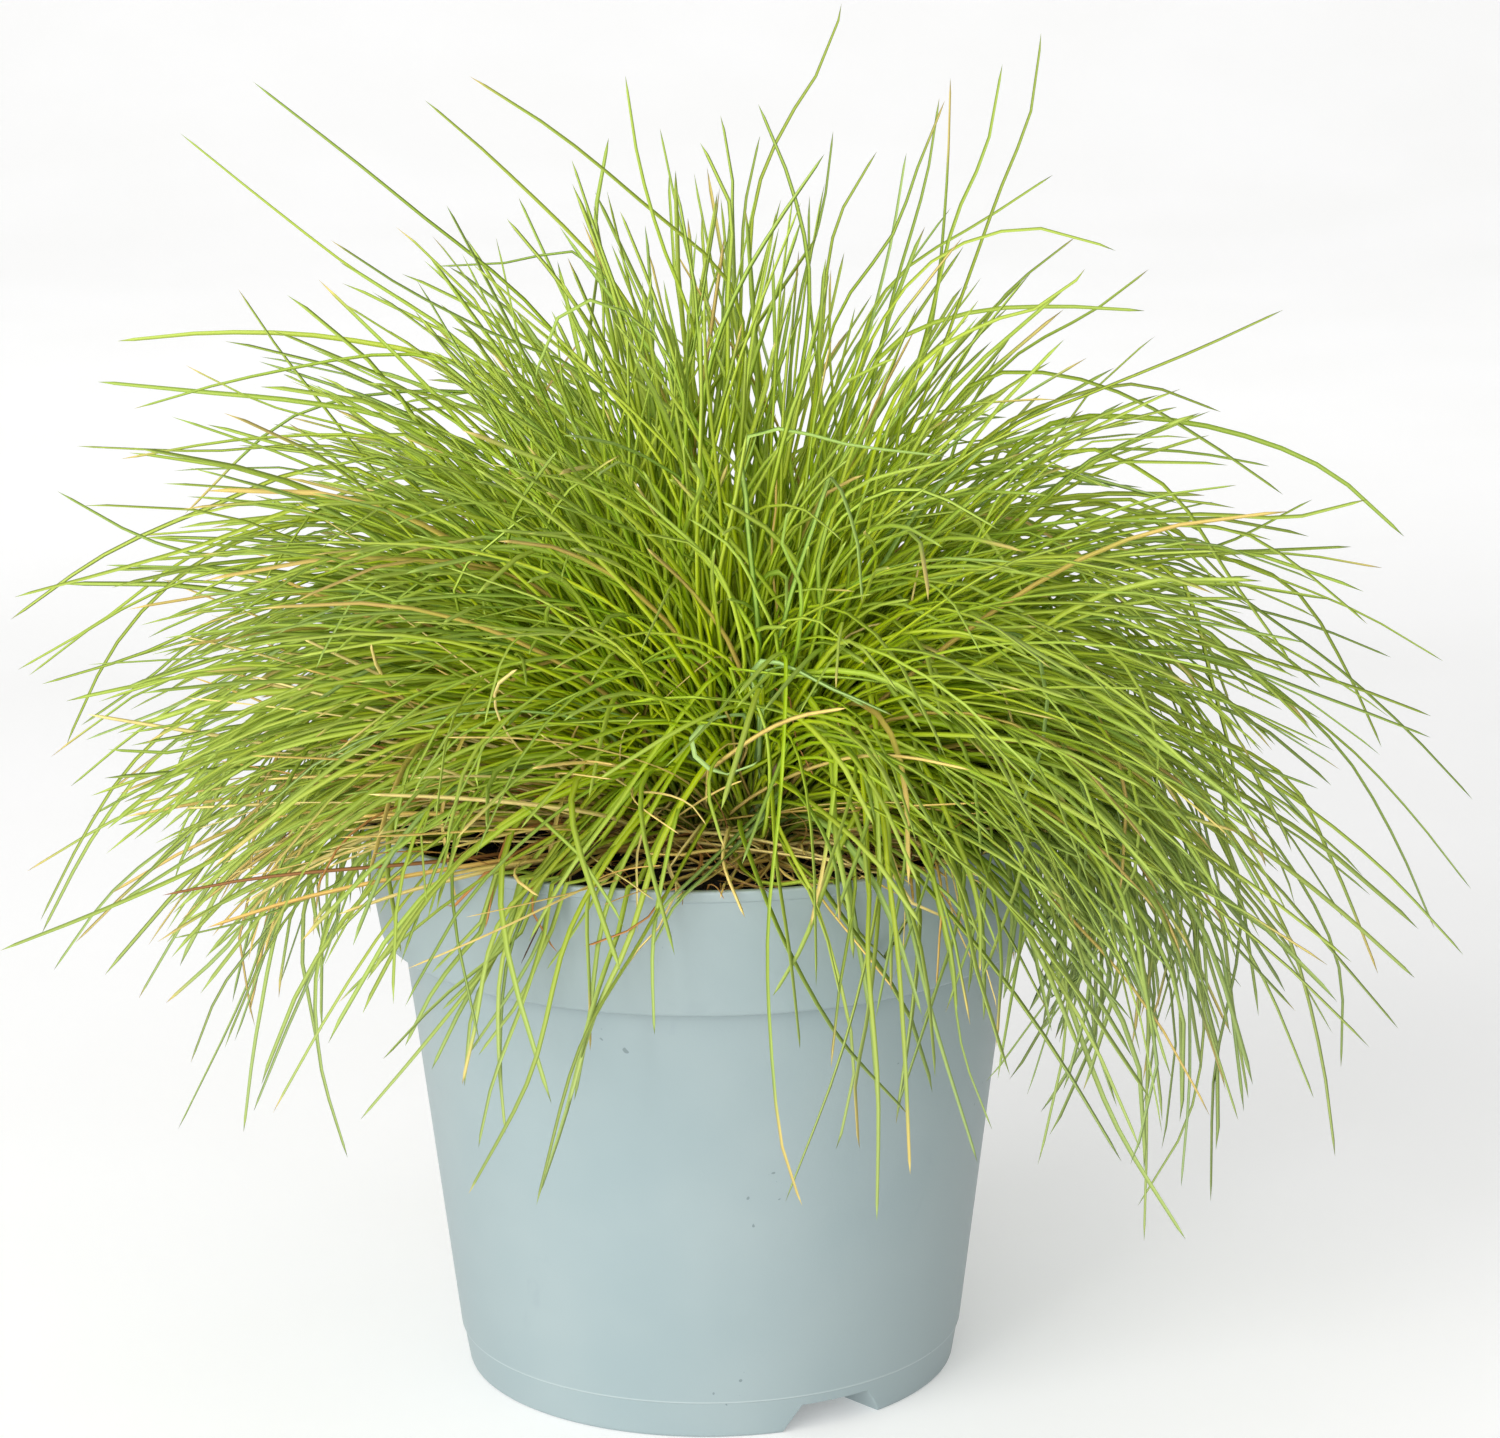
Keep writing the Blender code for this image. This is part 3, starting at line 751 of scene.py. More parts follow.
# A withered leaf is straw-coloured at its tip, and a dead one from its foot on.
tip_from = 1.03 - withered * withered * withered * 0.3
burnt = (along - tip_from).between(0.0, 0.06)
colour = (burnt * 0.8).mixed(colour, paint(212, 186, 112))
dying = withered.between(0.9, 0.94) * along.between(1.2, 0.5)
colour = (dying * 0.85).mixed(colour, paint(206, 168, 92))
plug(colour, shader, "Base Color")
plug(mottle * 0.16 + 0.46, shader, "Roughness")
shader.inputs["Specular IOR Level"].default_value = 0.25


def bell(angle, degrees):
    """1 at no angle, and fading to nothing at about twice this many degrees to either side."""
    return np.exp(-((angle / math.radians(degrees)) ** 2))


# Most numbers of this rule, and of the tillers above, were found by a search that set the slant and
# density of the leaves against the photo's, patch by patch. Others were then changed one by one.
# A leaf leans as its tiller does and goes its way, more or less: in the middle of the crown the
# leaves go all ways. At the front they are parted, and some of the right ones go to the left.
rng = np.random.default_rng(23)
count = TILLERS * LEAVES_PER_TILLER
from_tiller = np.repeat(np.arange(TILLERS), LEAVES_PER_TILLER)
spread = 0.29 + 1.18 * np.exp(-tiller_far[from_tiller] / (5 * MM))
heading = tiller_way[from_tiller] + rng.normal(0, 1, count) * spread
off_front = from_front(heading)
lean = np.abs(tiller_lean[from_tiller] + rng.normal(0, 0.15, count))
lean *= 1 - 0.05 * bell(off_front, 30)
lean = np.clip(lean, 0.01, GREATEST_LEAN - FRONT_LEANS_LESS * front_share(heading))
parted = (np.abs(off_front) < PARTING_REACH) & (lean > PARTED_LEAN)
aside = PARTING + np.abs(off_front) * (1 - PARTING / PARTING_REACH)
side = np.where(rng.random(count) < CROSSING_SHARE, -1, np.sign(off_front))
heading = np.where(parted, FRONT + side * aside, heading)
lean_degrees = np.degrees(lean)
rightward = np.clip(np.cos(heading), 0, 1)
leftward = np.clip(-np.cos(heading), 0, 1)
backward = np.clip(np.sin(heading), 0, 1)

# The more a leaf leans the more it bends, and the outer leaves are a little shorter.
bend = 68 + 1.83 * lean_degrees - 0.0082 * lean_degrees**2
bend = np.radians(bend * np.clip(rng.normal(1.0, 0.17, count), 0.0, 1.9))
bend = np.minimum(bend, math.radians(166) - lean)
outer = np.clip(lean_degrees / 45, 0, 1)
length = 1.02 - 0.35 * rng.random(count) ** (1.13 - 0.45 * outer)
length *= LEAF_LENGTH - OUTER_LEAF_SHORTER * outer
length *= 1 - 0.12 * (rightward + leftward) * outer

# The bend of those that hang over the front of the lip is drawn towards an end that points 59 to
# 113 degrees from upright, the longer the leaf the more.
hanging = front_share(heading) * np.clip(lean_degrees / 13 - 0.8, 0, 1)
length *= 1 + np.where(side < 0, 0.08, 0.1) * hanging
length *= 1 - np.where(side < 0, 0.16, 0.41) * hanging * rng.random(count)
final = 59 + 54 * np.clip((length - 66 * MM) / (83 * MM), 0, 1) + rng.normal(0, 12, count)
bend += (np.radians(final) - lean - bend) * hanging * HANGING_BEND_SHARE

# The clump is lopsided: on the right it bends more and reaches further but is less tall, its back
# is longer, and its upright front leaves bend less.
bend *= 1.22 + 0.32 * rightward * (1 - hanging) - 0.17 * leftward
bend *= 1 - 0.5 * bell(off_front, 40) * np.clip(1.5 - lean_degrees / 10, 0, 1)
length *= 1 + 0.08 * rightward
length *= 1 + 0.14 * backward * outer
length *= 1 - 0.13 * rightward * np.clip(1.6 - lean_degrees / 16, 0, 1)
droop = rng.uniform(0.57, 1.54, count) * (1 - 0.27 * hanging)

# A few in the front half arch over at their ends, half of the most upright ones are stiff, and in
# the parting some are young, short and straight.
arching = (rng.random(count) < ARCHING_SHARE) & (np.sin(heading) < 0.2) & (lean_degrees < 30)
bend = np.where(arching, np.radians(rng.uniform(50, 105, count)), bend)
length = np.where(arching, rng.uniform(*ARCHING_LENGTHS, count), length)
droop = np.where(arching, rng.uniform(1.1, 2.0, count), droop)
length *= 1 - 0.03 * np.clip(1 - lean_degrees / 25, 0, 1)
stiff = (rng.random(count) < STIFF_SHARE) & (lean < STIFF_LEAN) & ~parted
bend = np.where(stiff, bend * rng.uniform(0.1, 0.6, count), bend)
length = np.where(stiff, length * 0.95, length)
young = parted & (rng.random(count) < np.where(side > 0, YOUNG_SHARE_RIGHT, YOUNG_SHARE_LEFT))
lean = np.where(young, lean * 0.4, lean)
bend = np.where(young, bend * 0.3, bend)
length = np.where(young, rng.uniform(*YOUNG_LENGTHS, count), length)

# No two grow alike: each is off its tiller's middle, sways aside, wanders, and may be kinked.
root = tiller_root[from_tiller]
root[:, :2] += rng.normal(0, 0.7 * MM, (count, 2))
unruly = rng.random(count) < UNRULY_SHARE
bend = np.where(unruly, bend * rng.uniform(0.6, 1.6, count), bend)
sway = rng.normal(0, 0.3, count) * np.where(unruly, 3.2, 1)
kink = np.stack([
    rng.uniform(0.45, 0.85, count),
    np.where(rng.random(count) < KINKED_SHARE, rng.normal(0, 0.5, count), 0),
    np.where(rng.random(count) < KINKED_SHARE, rng.normal(0, 0.6, count), 0),
], 1)
wander = np.concatenate([rng.normal(0, 0.38, (count, 2)), rng.normal(0, 0.2, (count, 2))], 1)
lines, across = grow(root, heading, lean, bend, length, sway, LEAF_STEPS, droop, kink, wander)


def leaf_widths(steps, widest):
    """Narrow in the sheath, full by a sixth of the length, then tapering late to a fine point."""
    share = np.linspace(0, 1, steps + 1)
    swell = np.minimum(1, 0.7 + 1.8 * share)
    taper = (1 - 0.25 * share**2) * (1 - share**16) ** 0.5
    return widest[:, None] * (swell * taper)[None]


def leaf_tones(rng, count):
    """Each leaf's own hue, lightness and how far its tip has withered."""
    return toned(rng.beta(1.3, 2.0, count), rng.random(count), 0.88 * rng.random(count) ** 2)


def leaf_rolls(rng, count, steps, at_foot, on_the_way):
    """How far each strand is rolled at its foot, and how far it twists on its way to the tip."""
    share = np.linspace(0, 1, steps + 1)
    return rng.normal(0, at_foot, (count, 1)) + rng.normal(0, on_the_way, (count, 1)) * share


width = leaf_widths(LEAF_STEPS, LEAF_WIDTH * rng.uniform(0.62, 1.25, count))
roll = leaf_rolls(rng, count, LEAF_STEPS, 0.5, 0.7)
tones = leaf_tones(rng, count)
low_left = (np.cos(heading) < -0.2) & (np.sin(heading) < 0.45) & (lean_degrees > 31)
dead = rng.random(count) < np.where(low_left, DEAD_SHARE_LOW_LEFT, DEAD_SHARE)
tones[:, 2] = np.where(dead, DEAD_TONE, tones[:, 2])

# The leaves are joined in seven bunches by where their tips are, and each bunch stands for the
# tufts whose middles are there: the heart, and a sixth of the way round for each of the others.
SIDE_BUNCHES = (
    "leaves_front_right",
    "leaves_right",
    "leaves_back_right",
    "leaves_back_left",
    "leaves_left",
    "leaves_front_left",
)
HEART_TIPS_OUT = 38
HEART_TUFTS_OUT = 24


def bunch_at(spot, heart_out):
    """The bunch that this spot is in. The heart's are less than heart_out degrees from upright."""
    out_x, out_y = spot[0] - CROWN_PLACE[0], spot[1] - CROWN_PLACE[1]
    out = math.degrees(math.atan2(math.hypot(out_x, out_y), spot[2] - PEAT_LEVEL))
    bearing = math.degrees(math.atan2(out_x, -out_y)) % 360
    return "leaves_heart" if out < heart_out else SIDE_BUNCHES[int(bearing // 60)]


tuft_bunch = {}
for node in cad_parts:
    if node.startswith("tuft"):
        low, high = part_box(node)
        tuft_bunch[node] = bunch_at((low + high) / 2, HEART_TUFTS_OUT)
leaf_bunch = np.array([bunch_at(tip, HEART_TIPS_OUT) for tip in lines[:, -1]])
for bunch in ("leaves_heart", *SIDE_BUNCHES):
    chosen = leaf_bunch == bunch
    leaves = sweep(
        bunch,
        lines[chosen],
        across[chosen],
        width[chosen],
        LEAF_SECTION,
        roll[chosen],
        tones[chosen],
        ATLAS_COLUMNS,
    )
    leaves.data.materials.append(leaf_skin)
    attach(leaves, "root")
    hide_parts(*sorted(node for node in tuft_bunch if tuft_bunch[node] == bunch))

# -----------------------------------------------------------------------------
# Long leaves: single green blades, folded like the rest, that grow from the crown and stand out of
# the clump, where they draw its outline, hang over the lip in front of the pot, or arch in front
# of the clump's heart.
LONG_STEPS = 22
LONG_ATLAS_COLUMNS = 16
HEART_LEAF_WIDER = 1.2
PHOTO_SIZE = (1500, 1438)
CROWN_IN_PHOTO = (745, 820)
# The photo's camera, fitted to the rims of the pot. The scene looks through the same one.
SENSOR_WIDTH = 36
LENS = 112.035
CAMERA_PLACE = (0, -0.906524, 0.359894)
CAMERA_TILT = 75.96409
CAMERA_ROLL = 0.38925
CAMERA_TURN = -0.66141
# Each leaf is a few points on its way from the clump out to its tip, read off the photo in pixels
# right and down. A stray leaf has first how many millimetres its tip is behind the pot's middle, or
# less than 0 in front of it; the others have this depth at every point.
STRAY_LEAVES = [
    (20, (460, 340), (350, 267), (260, 200), (179, 133)),
    (-25, (560, 345), (400, 200), (253, 82)),
    (30, (645, 340), (500, 165), (427, 98)),
    (-10, (725, 280), (650, 208), (550, 128), (471, 78)),
    (-40, (600, 385), (480, 325), (400, 282), (329, 241)),
    (35, (500, 385), (350, 338), (200, 335), (119, 339)),
    (-15, (450, 363), (250, 378), (133, 409)),
    (10, (400, 422), (300, 402), (200, 391), (97, 384)),
    (-30, (400, 450), (250, 397), (188, 364)),
    (25, (400, 500), (320, 403), (280, 352), (239, 290)),
    (-45, (520, 350), (480, 270), (446, 208)),
    (0, (640, 335), (600, 272), (570, 251), (520, 258), (436, 264)),
    (40, (600, 370), (560, 285), (516, 197)),
    (-20, (630, 400), (570, 300), (507, 221)),
    (15, (612, 330), (597, 230), (610, 138)),
    (-35, (660, 420), (600, 245), (571, 162)),
    (-50, (640, 325), (600, 300), (545, 330), (535, 385)),
    (5, (350, 452), (200, 450), (79, 448)),
    (-30, (400, 445), (250, 438), (120, 458)),
    (30, (520, 402), (420, 390), (300, 412), (182, 512)),
    (-45, (330, 512), (215, 471)),
    (10, (400, 500), (200, 556), (150, 540), (55, 490)),
    (-20, (340, 500), (200, 548), (100, 573), (12, 597)),
    (40, (340, 468), (200, 510), (100, 558), (10, 621)),
    (-5, (400, 560), (250, 570), (107, 566)),
    (20, (330, 520), (200, 553), (100, 623), (16, 668)),
    (-40, (350, 560), (200, 575), (100, 620), (28, 675)),
    (0, (350, 520), (190, 570), (130, 625), (85, 700), (67, 748)),
    (-30, (400, 560), (230, 615), (140, 655), (43, 685)),
    (45, (350, 600), (200, 640), (150, 680), (82, 724)),
    (-15, (380, 620), (170, 708), (83, 740)),
    (25, (350, 640), (150, 722), (70, 787)),
    (-50, (420, 700), (240, 735), (170, 751), (110, 748)),
    (0, (400, 690), (220, 780), (130, 812), (27, 871)),
    (-25, (350, 650), (130, 770), (80, 845), (42, 922)),
    (30, (380, 660), (150, 760), (100, 830), (42, 935)),
    (-45, (430, 740), (200, 865), (100, 912), (2, 953)),
    (10, (420, 690), (230, 805), (110, 895), (53, 970)),
    (-20, (400, 720), (150, 868), (77, 943)),
    (35, (430, 700), (260, 820), (200, 898), (138, 997)),
    (-55, (450, 780), (350, 875), (270, 915), (172, 941)),
    (0, (430, 760), (290, 860), (230, 945), (165, 1005)),
    (-30, (430, 770), (270, 925), (220, 990), (192, 1063)),
    (20, (430, 740), (285, 890), (250, 985), (178, 1130)),
    (-40, (450, 760), (300, 870), (258, 1030), (241, 1130)),
    (-10, (480, 760), (380, 850), (300, 1000), (254, 1110)),
    (-50, (430, 800), (317, 960), (322, 1060), (347, 1158)),
    (15, (765, 165), (800, 98), (830, 48), (841, 3)),
    (-20, (690, 320), (660, 235), (637, 155), (623, 74)),
    (30, (700, 310), (682, 225), (662, 126)),
    (-35, (730, 300), (725, 195), (698, 141)),
    (0, (727, 280), (732, 165), (722, 117)),
    (25, (742, 290), (747, 200), (758, 136)),
    (-25, (808, 240), (785, 165), (759, 102)),
    (40, (803, 275), (823, 200), (831, 130)),
    (-10, (820, 350), (838, 215), (878, 149)),
    (-45, (700, 400), (740, 285), (780, 215), (825, 155)),
    (20, (870, 320), (890, 240), (906, 152)),
    (-30, (845, 305), (895, 230), (920, 170), (944, 98)),
    (10, (895, 290), (928, 165), (939, 97)),
    (45, (930, 340), (949, 180), (948, 78)),
    (-40, (675, 365), (655, 295), (618, 211)),
    (5, (930, 320), (958, 220), (985, 145), (1000, 65)),
    (-15, (945, 345), (995, 200), (1035, 95), (1039, 33)),
    (30, (900, 275), (990, 217), (1051, 174)),
    (-35, (880, 325), (930, 265), (990, 232), (1050, 228), (1116, 251)),
    (20, (960, 360), (1000, 300), (1075, 235)),
    (-50, (940, 345), (1000, 315), (1065, 296), (1086, 269)),
    (0, (900, 340), (970, 313), (1060, 305), (1147, 309)),
    (35, (1020, 355), (1100, 308), (1151, 270)),
    (-25, (1000, 430), (1100, 387), (1200, 348), (1283, 310)),
    (15, (1020, 415), (1060, 400), (1135, 385), (1222, 411)),
    (-45, (1000, 480), (1110, 422), (1178, 408)),
    (25, (1060, 422), (1150, 419), (1240, 434), (1330, 470), (1405, 536)),
    (-15, (1000, 373), (1050, 374), (1120, 395), (1200, 438), (1285, 493)),
    (40, (1050, 460), (1180, 450), (1269, 468)),
    (-40, (1050, 540), (1160, 497), (1238, 485)),
    (10, (1100, 570), (1220, 545), (1310, 499)),
    (-25, (1080, 530), (1200, 515), (1300, 518), (1370, 499)),
    (30, (1100, 560), (1250, 550), (1353, 547)),
    (0, (1080, 580), (1200, 556), (1300, 556), (1385, 567)),
    (-50, (1100, 540), (1250, 538), (1310, 573), (1366, 627)),
    (20, (1050, 500), (1250, 567), (1370, 617), (1443, 663)),
    (-20, (1090, 447), (1160, 485), (1230, 575), (1291, 668)),
    (45, (1100, 600), (1300, 620), (1389, 658)),
    (-10, (1100, 640), (1350, 685), (1433, 716)),
    (15, (1150, 560), (1300, 640), (1410, 730), (1475, 799)),
    (-35, (1150, 650), (1340, 705), (1429, 738)),
    (35, (1100, 560), (1290, 590), (1350, 680), (1384, 747)),
    (-5, (1080, 600), (1160, 565), (1215, 700), (1240, 800)),
    (-45, (1040, 620), (1110, 650), (1155, 740), (1154, 811)),
    (25, (1200, 660), (1350, 745), (1410, 810), (1473, 888)),
    (-15, (1100, 700), (1270, 780), (1380, 865), (1463, 957)),
    (40, (1200, 650), (1345, 755), (1390, 835), (1433, 928)),
    (-30, (1120, 760), (1250, 840), (1330, 905), (1414, 977)),
    (5, (1150, 720), (1290, 780), (1330, 860), (1376, 973)),
    (-50, (1120, 780), (1260, 870), (1320, 935), (1399, 1030)),
    (20, (1150, 740), (1300, 880), (1338, 970), (1343, 1068)),
    (-10, (1120, 740), (1270, 900), (1320, 1060), (1337, 1158)),
    (-35, (1100, 780), (1250, 960), (1315, 1100)),
    (30, (1100, 720), (1215, 900), (1235, 1010), (1248, 1101)),
    (-45, (1060, 760), (1180, 920), (1205, 1020), (1237, 1122)),
    (0, (1150, 740), (1235, 880), (1212, 1090), (1213, 1201)),
    (-55, (1050, 780), (1180, 930), (1190, 1060), (1183, 1189)),
    (-30, (1100, 760), (1205, 1010), (1190, 1120), (1135, 1206)),
    (-65, (960, 780), (1040, 930), (1120, 1130), (1184, 1241)),
    (-55, (1000, 760), (1135, 930), (1146, 1120), (1146, 1243)),
]
# These hang over the lip in front of the pot.
HANGING_LEAVES = [
    ((660, 801, -52), (570, 930, -88), (530, 1080, -114), (468, 1196, -138)),
    ((720, 800, -42), (640, 940, -84), (580, 1050, -116), (535, 1203, -144)),
    ((700, 790, -30), (595, 1000, -80), (562, 1118, -84), (540, 1200, -88)),
    ((600, 820, -45), (520, 1010, -78), (490, 1100, -80), (476, 1148, -82)),
    ((620, 810, -45), (505, 960, -76), (498, 1060, -78), (504, 1132, -80)),
    ((640, 830, -45), (500, 925, -72), (470, 1040, -76), (464, 1087, -78)),
    ((660, 830, -40), (590, 890, -74), (588, 1000, -78), (592, 1052, -80)),
    ((700, 790, -30), (668, 850, -70), (654, 940, -78), (655, 1033, -80)),
    ((783, 650, -52), (783, 780, -77), (768, 932, -96), (768, 1020, -112), (785, 1150, -128),
     (800, 1205, -143)),
    ((850, 650, -30), (885, 790, -60), (872, 920, -76), (845, 1050, -80), (787, 1202, -86)),
    ((840, 720, -42), (866, 880, -74), (868, 960, -98), (876, 1090, -120), (879, 1220, -140)),
    ((830, 760, -30), (880, 880, -70), (872, 1000, -78), (853, 1115, -82), (862, 1149, -82)),
    ((850, 740, -42), (890, 900, -81), (902, 1038, -110), (908, 1175, -136)),
    ((820, 730, -30), (900, 890, -70), (935, 1020, -76), (980, 1165, -82)),
    ((860, 760, -30), (950, 950, -70), (965, 1060, -74), (990, 1128, -78)),
    ((745, 840, -62), (790, 950, -77), (840, 1035, -79), (908, 1113, -80)),
    ((770, 780, -50), (776, 870, -70), (790, 950, -78), (799, 1050, -80)),
    ((860, 780, -40), (830, 870, -68), (800, 950, -77), (773, 997, -79)),
    ((900, 760, -30), (965, 890, -66), (935, 1000, -75), (897, 1110, -80)),
    ((690, 725, -32), (600, 840, -56), (514, 935, -66), (434, 1005, -72), (380, 1058, -75)),
    ((680, 760, -34), (560, 860, -55), (482, 931, -60), (432, 994, -66), (404, 1048, -70)),
    ((670, 740, -34), (580, 850, -55), (482, 970, -68), (417, 1050, -76), (362, 1122, -80)),
    ((700, 720, -32), (570, 860, -58), (512, 931, -64), (458, 1013, -70), (431, 1069, -72)),
    ((690, 700, -30), (553, 853, -56), (510, 927, -64), (473, 1009, -68), (465, 1087, -70)),
    ((700, 740, -34), (564, 883, -62), (530, 961, -70), (497, 1011, -73), (468, 1057, -76)),
    ((710, 730, -34), (610, 850, -60), (551, 931, -68), (521, 1000, -73), (480, 1056, -76)),
    ((660, 770, -38), (545, 870, -60), (508, 948, -67), (498, 1031, -70), (501, 1102, -71)),
    ((650, 760, -36), (532, 862, -56), (484, 916, -60), (433, 972, -66)),
    ((640, 780, -36), (530, 880, -60), (471, 979, -67), (442, 1011, -70)),
    ((660, 820, -50), (600, 890, -67), (566, 942, -72), (548, 971, -74)),
    ((720, 720, -34), (640, 830, -62), (610, 894, -69), (601, 933, -72), (588, 1013, -77),
     (572, 1100, -82)),
    ((730, 740, -36), (660, 850, -66), (625, 944, -76), (595, 1013, -80), (566, 1105, -85)),
    ((872, 740, -46), (925, 850, -70), (939, 895, -87), (954, 961, -103), (954, 1012, -118)),
    ((880, 720, -32), (945, 840, -56), (965, 900, -62), (972, 945, -64), (970, 993, -66)),
    ((893, 740, -46), (959, 852, -77), (977, 914, -100), (983, 972, -120)),
    ((850, 650, -34), (884, 768, -58), (889, 842, -68), (888, 928, -75), (891, 991, -77)),
]
# These show in front of the clump's heart: each has its hue first, from yellow, 0, to blue, 1.
HEART_LEAVES = [
    (0.9, (760, 620, -46), (746, 500, -52), (745, 440, -54), (759, 431, -55), (801, 434, -57),
     (847, 444, -59), (893, 452, -60), (949, 459, -61)),
    (0.9, (790, 600, -48), (814, 519, -54), (833, 474, -57), (847, 503, -62), (856, 538, -65),
     (862, 607, -69)),
    (0.6, (800, 620, -46), (842, 517, -52), (870, 499, -54), (897, 490, -56), (927, 491, -58),
     (961, 506, -60), (1000, 531, -62)),
    (0.3, (805, 600, -44), (847, 494, -50), (883, 476, -52), (915, 469, -53), (950, 462, -54)),
    (0.5, (771, 630, -50), (759, 595, -52), (741, 563, -54), (716, 535, -56), (690, 516, -57)),
    (0.6, (750, 630, -50), (732, 595, -52), (697, 547, -56), (663, 515, -58), (635, 488, -59)),
    (0.2, (740, 640, -50), (709, 561, -56), (674, 538, -60), (645, 535, -62)),
    (0.8, (803, 625, -54), (798, 584, -56), (787, 549, -57), (781, 520, -58), (784, 511, -58),
     (796, 506, -58)),
    (1.0, (757, 700, -47), (752, 672, -51), (764, 662, -54), (784, 663, -57), (810, 676, -60),
     (841, 691, -63), (874, 704, -65), (894, 714, -66)),
    (0.95, (765, 705, -47), (765, 672, -51), (790, 668, -55), (815, 681, -58), (842, 696, -61),
     (868, 706, -63)),
    (0.6, (740, 700, -47), (733, 668, -51), (749, 671, -53), (784, 675, -57), (861, 678, -61),
     (899, 688, -63), (927, 717, -64)),
    (0.4, (764, 831, -49), (768, 768, -53), (762, 724, -55), (749, 683, -56)),
    (1.0, (735, 715, -47), (700, 728, -53), (690, 747, -55), (703, 762, -56), (723, 771, -57),
     (747, 771, -58), (760, 760, -59)),
    (0.9, (785, 785, -37), (740, 832, -53), (703, 868, -67), (664, 905, -78), (645, 935, -79)),
    (0.95, (780, 795, -37), (742, 840, -53), (705, 876, -67), (676, 904, -78)),
    (0.85, (790, 800, -35), (750, 836, -51), (712, 870, -67), (672, 915, -79), (655, 945, -79)),
    (0.35, (800, 690, -43), (818, 706, -51), (836, 742, -59), (830, 819, -73), (820, 882, -79),
     (812, 930, -79)),
    (0.3, (792, 683, -43), (815, 711, -51), (830, 747, -57), (838, 844, -75), (850, 900, -79),
     (856, 960, -79)),
    (0.7, (800, 700, -41), (838, 706, -47), (853, 742, -53), (892, 803, -63), (930, 850, -69),
     (955, 880, -73)),
    (0.45, (740, 690, -41), (723, 671, -45), (703, 688, -49), (670, 734, -57), (611, 819, -69),
     (560, 885, -75), (530, 940, -79)),
    (0.5, (735, 690, -39), (698, 652, -45), (682, 645, -47), (662, 648, -49), (631, 671, -52),
     (560, 701, -55), (500, 740, -57)),
    (0.8, (720, 680, -37), (690, 655, -41), (650, 660, -44), (600, 685, -47), (540, 715, -50)),
    (0.5, (779, 740, -45), (756, 731, -49), (703, 722, -53), (637, 719, -55), (560, 724, -57),
     (500, 735, -57)),
]


camera_turned = Euler([math.radians(part) for part in (CAMERA_TILT, CAMERA_ROLL, CAMERA_TURN)])
camera_axes = np.array(camera_turned.to_matrix(), float)


def seen_at(right, down, depth):
    """The place, to the millimetre, of what the photo shows at a pixel, at this depth."""
    width, height = PHOTO_SIZE
    focus = LENS / SENSOR_WIDTH * width
    ray = camera_axes @ ((right - width / 2) / focus, (height / 2 - down) / focus, -1)
    camera_place = np.array(CAMERA_PLACE) / MM
    return [round(part) for part in camera_place + ray * (depth - camera_place[1]) / ray[1]]


def stray_places(tip_depth, *points):
    """A stray leaf's places: it comes to its tip's depth evenly, on its way out from the crown."""
    far = [math.dist(point, CROWN_IN_PHOTO) for point in points]
    return [seen_at(*point, tip_depth * min(part / far[-1], 1)) for point, part in zip(points, far)]


def drawn_through(places, steps):
    """A smooth line through these places, in even steps."""
    places = np.array(places, float)
    travel = np.concatenate([[0], np.cumsum(np.linalg.norm(np.diff(places, axis=0), axis=1))])
    slopes = np.gradient(places, travel, axis=0)
    fine = np.linspace(0, travel[-1], 10 * steps)
    piece = np.clip(np.searchsorted(travel, fine, side="right") - 1, 0, len(places) - 2)
    run = np.diff(travel)[piece][:, None]
    share = (fine - travel[piece])[:, None] / run
    line = (
        places[piece] * (1 + 2 * share) * (1 - share) ** 2
        + places[piece + 1] * share**2 * (3 - 2 * share)
        + slopes[piece] * run * share * (1 - share) ** 2
        - slopes[piece + 1] * run * share**2 * (1 - share)
    )
    gone = np.concatenate([[0], np.cumsum(np.linalg.norm(np.diff(line, axis=0), axis=1))])
    even = np.linspace(0, gone[-1], steps + 1)
    return np.stack([np.interp(even, gone, line[:, axis]) for axis in range(3)], 1)


def out_of_crown(leaf, steps, rng):
    """The line of a leaf through its places, from a foot in the crown by way of a low arch."""
    places = np.array(leaf) * MM
    outward = places[-1, :2] - CROWN_PLACE
    outward /= np.linalg.norm(outward)
    foot = np.append(CROWN_PLACE + outward * rng.uniform(4, 15) * MM, PEAT_LEVEL)
    knee = foot + (places[0] - foot) * 0.45
    knee[2] += 0.07 * np.linalg.norm(places[0] - foot)
    line = drawn_through([foot, knee, *places], steps)
    for step in range(1, steps + 1):
        line[step] = clear_of_pot(line[step : step + 1], line[step - 1 : step])[0]
    return line


def level_across(lines):
    """The level direction across each line's own way out, at every point."""
    outward = lines[:, -1] - lines[:, 0]
    across = np.stack([-outward[:, 1], outward[:, 0], np.zeros(len(lines))], 1)
    across /= np.linalg.norm(across, axis=1, keepdims=True)
    return np.repeat(across[:, None], lines.shape[1], 1)


